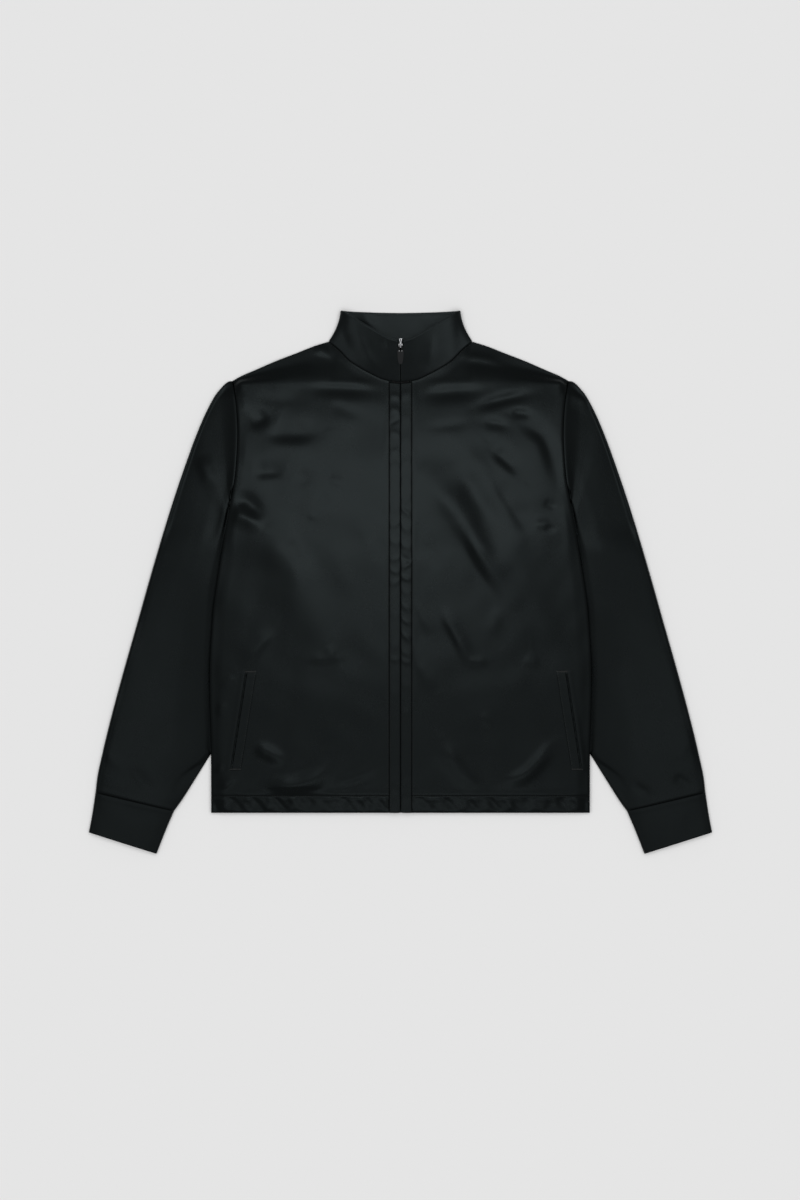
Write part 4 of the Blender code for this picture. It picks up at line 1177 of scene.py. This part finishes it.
def make_teeth(side, number):
    """The closed coil: one row of teeth on each tape, a half pitch apart."""
    shift = 0 if side == "left" else 0.5 * TOOTH_BEAD["Pitch"]
    y = np.arange(-328, 336, 2) + shift
    beads(side + "_zip_teeth", [sided(side, np.full(y.shape, 0.9), y, tape_height(y) + 0.1)],
          TOOTH_BEAD, COIL_PLASTIC, number)


# ---- studio
FILL = 0.26
CAMERA_HEIGHT = 6.0
VIEW_HEIGHT = 1.732
VIEW_ASIDE = 0.0007
VIEW_BELOW = 0.0257
FLOOR_LIGHT = 2.26
FLOOR_LIGHT_SPREAD = 80.0
FLOOR_REACH = 24.0
FLOOR_Z = -0.0006
# Soft boxes over the jacket and over its collar: place, size and power
BODY_BOXES = (
    ((0, 0.155, 0.45), (0.63, 0.235), 0.54),
    ((0, -0.06, 0.50), (0.46, 0.12), 0.13),
    ((0, -0.43, 0.50), (0.62, 0.09), 0.13),
)
SLEEVE_BOXES = (
    ((0, 0.155, 0.45), (0.50, 0.22), 0.28),
    ((0.46, -0.26, 0.60), (0.22, 0.60), 0.14),
    ((-0.46, -0.26, 0.60), (0.22, 0.60), 0.14),
)
COLLAR_BOXES = (
    ((0.25, 0.29, 0.45), (0.15, 0.20), 0.30),
    ((-0.26, 0.29, 0.45), (0.15, 0.20), 0.20),
    ((0.02, 0.45, 0.45), (0.20, 0.12), 0.27),
    ((0, 1.00, 0.45), (0.90, 0.50), 2.20),
)
BROAD_BOX = ((0, 0, 1.2), (1.7, 1.7), 2.05)


def area_light(name, place, aim, size, power):
    data = bpy.data.lights.new(name, "AREA")
    data.shape = "ELLIPSE"
    data.size = size[0]
    data.size_y = size[1]
    data.energy = power
    light = put_in_scene(name, data)
    light.location = place
    light.rotation_euler = (Vector(aim) - Vector(place)).to_track_quat("-Z", "Y").to_euler()
    light.visible_camera = False
    return light


def make_studio():
    floor_mesh = bpy.data.meshes.new("floor")
    signs = ((-1, -1), (1, -1), (1, 1), (-1, 1))
    corners = [(x * FLOOR_REACH, y * FLOOR_REACH, FLOOR_Z) for x, y in signs]
    floor_mesh.from_pydata(corners, [], [(0, 1, 2, 3)])
    floor = put_in_scene("floor", floor_mesh)
    floor_mesh.materials.append(
        new_material("pale_floor", 0, Base_Color=(0.80, 0.80, 0.80, 1), Roughness=0.9)[0]
    )
    world = bpy.data.worlds.new("studio")
    bpy.context.scene.world = world
    world.use_nodes = True
    sky = world.node_tree.nodes["Background"].inputs
    sky["Color"].default_value = (1, 1, 1, 1)
    sky["Strength"].default_value = FILL
    sun_data = bpy.data.lights.new("floor_light", "SUN")
    sun_data.energy = FLOOR_LIGHT
    sun_data.angle = math.radians(FLOOR_LIGHT_SPREAD)
    sun = put_in_scene("floor_light", sun_data)
    names = ("floor_set", "collar_set", "sleeve_set", "body_set", "cloth_set")
    sets = {name: bpy.data.collections.new(name) for name in names}
    for obj in [each for each in bpy.context.scene.objects if each.type == "MESH"]:
        if obj.name == "floor":
            sets["floor_set"].objects.link(obj)
        elif obj.name.startswith(("collar", "zip_slider", "pull_tab", "slider", "tab_")):
            sets["collar_set"].objects.link(obj)
        else:
            arm = "sleeve" in obj.name or "cuff" in obj.name
            sets["sleeve_set" if arm else "body_set"].objects.link(obj)
            sets["cloth_set"].objects.link(obj)
    sun.light_linking.receiver_collection = sets["floor_set"]
    lit = (
        ("body_set", BODY_BOXES), ("sleeve_set", SLEEVE_BOXES), ("collar_set", COLLAR_BOXES),
        ("cloth_set", (BROAD_BOX,)),
    )
    for name, boxes in lit:
        for number, (place, size, power) in enumerate(boxes):
            below = (place[0], place[1] - 0.001, 0)
            box = area_light(name + "_box_" + str(number + 1), place, below, size, power)
            box.light_linking.receiver_collection = sets[name]
    low, high = CAD_BOX
    centre_x = 0.5 * (low[0] + high[0])
    centre_y = 0.5 * (low[1] + high[1])
    camera_data = bpy.data.cameras.new("camera")
    camera_data.sensor_width = 36
    camera_data.lens = camera_data.sensor_width * CAMERA_HEIGHT / VIEW_HEIGHT
    camera_data.clip_end = 50
    camera = put_in_scene("camera", camera_data)
    camera.location = (centre_x - VIEW_ASIDE, centre_y - VIEW_BELOW, CAMERA_HEIGHT + BODY_LOFT * MM)
    bpy.context.scene.camera = camera
    bpy.context.scene.view_settings.view_transform = "Standard"
    bpy.context.scene.view_settings.look = "None"


def make_crown():
    """Polished waisted plate on the slider, round the foot of its bridge."""
    outline = np.array(CROWN_OUTLINE)
    y = np.linspace(outline[0, 0], outline[-1, 0], 44)
    half = smooth(CROWN_OUTLINE, y)
    y, share = np.meshgrid(y, np.linspace(-1, 1, 15), indexing="ij")
    x = half[:, None] * share
    base = SLIDER_TOP + (y - SLIDER_LOW_Y) * SLIDER_SLOPE
    upper = np.stack([x, y, base + CROWN_RISE * (1 - 0.8 * share ** 4)], -1)
    lower = np.stack([x, y, base - 0.1], -1)
    crown = wall_object("slider_crown", upper, lower, METAL)
    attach(crown, "garment")


def make_rivets():
    """Two small polished rivets that hold the tab to its bar."""
    shape = bmesh.new()
    for sign in (-1, 1):
        place = Matrix.Translation(Vector((sign * RIVET[0], RIVET[1] + SHIFT_Y, RIVET[2])) * MM)
        size = Matrix.Diagonal((RIVET_RADIUS * MM, RIVET_RADIUS * MM, RIVET_RISE * MM, 1))
        bmesh.ops.create_uvsphere(shape, u_segments=16, v_segments=10, radius=1, matrix=place @ size)
    mesh = bpy.data.meshes.new("tab_rivets")
    shape.to_mesh(mesh)
    shape.free()
    mesh.materials.append(METAL)
    mesh.shade_smooth()
    rivets = put_in_scene("tab_rivets", mesh)
    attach(rivets, "tab")


def restyle(node, material):
    """Give a packed hard piece its finish."""
    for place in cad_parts[node].material_slots:
        place.material = material


for side in ("left", "right"):
    make_front(side)
    make_band(side)
    make_welt(side)
    make_sleeve(side)
    make_cuff(side)
    make_tape(side)
    make_stitches(side, STITCH_SEEDS[side])
    make_teeth(side, TEETH_SEED)
make_back()
make_collar()
make_crown()
make_rivets()
restyle("zip_slider", SLIDER_METAL)
restyle("pull_tab", RUBBER)
make_studio()
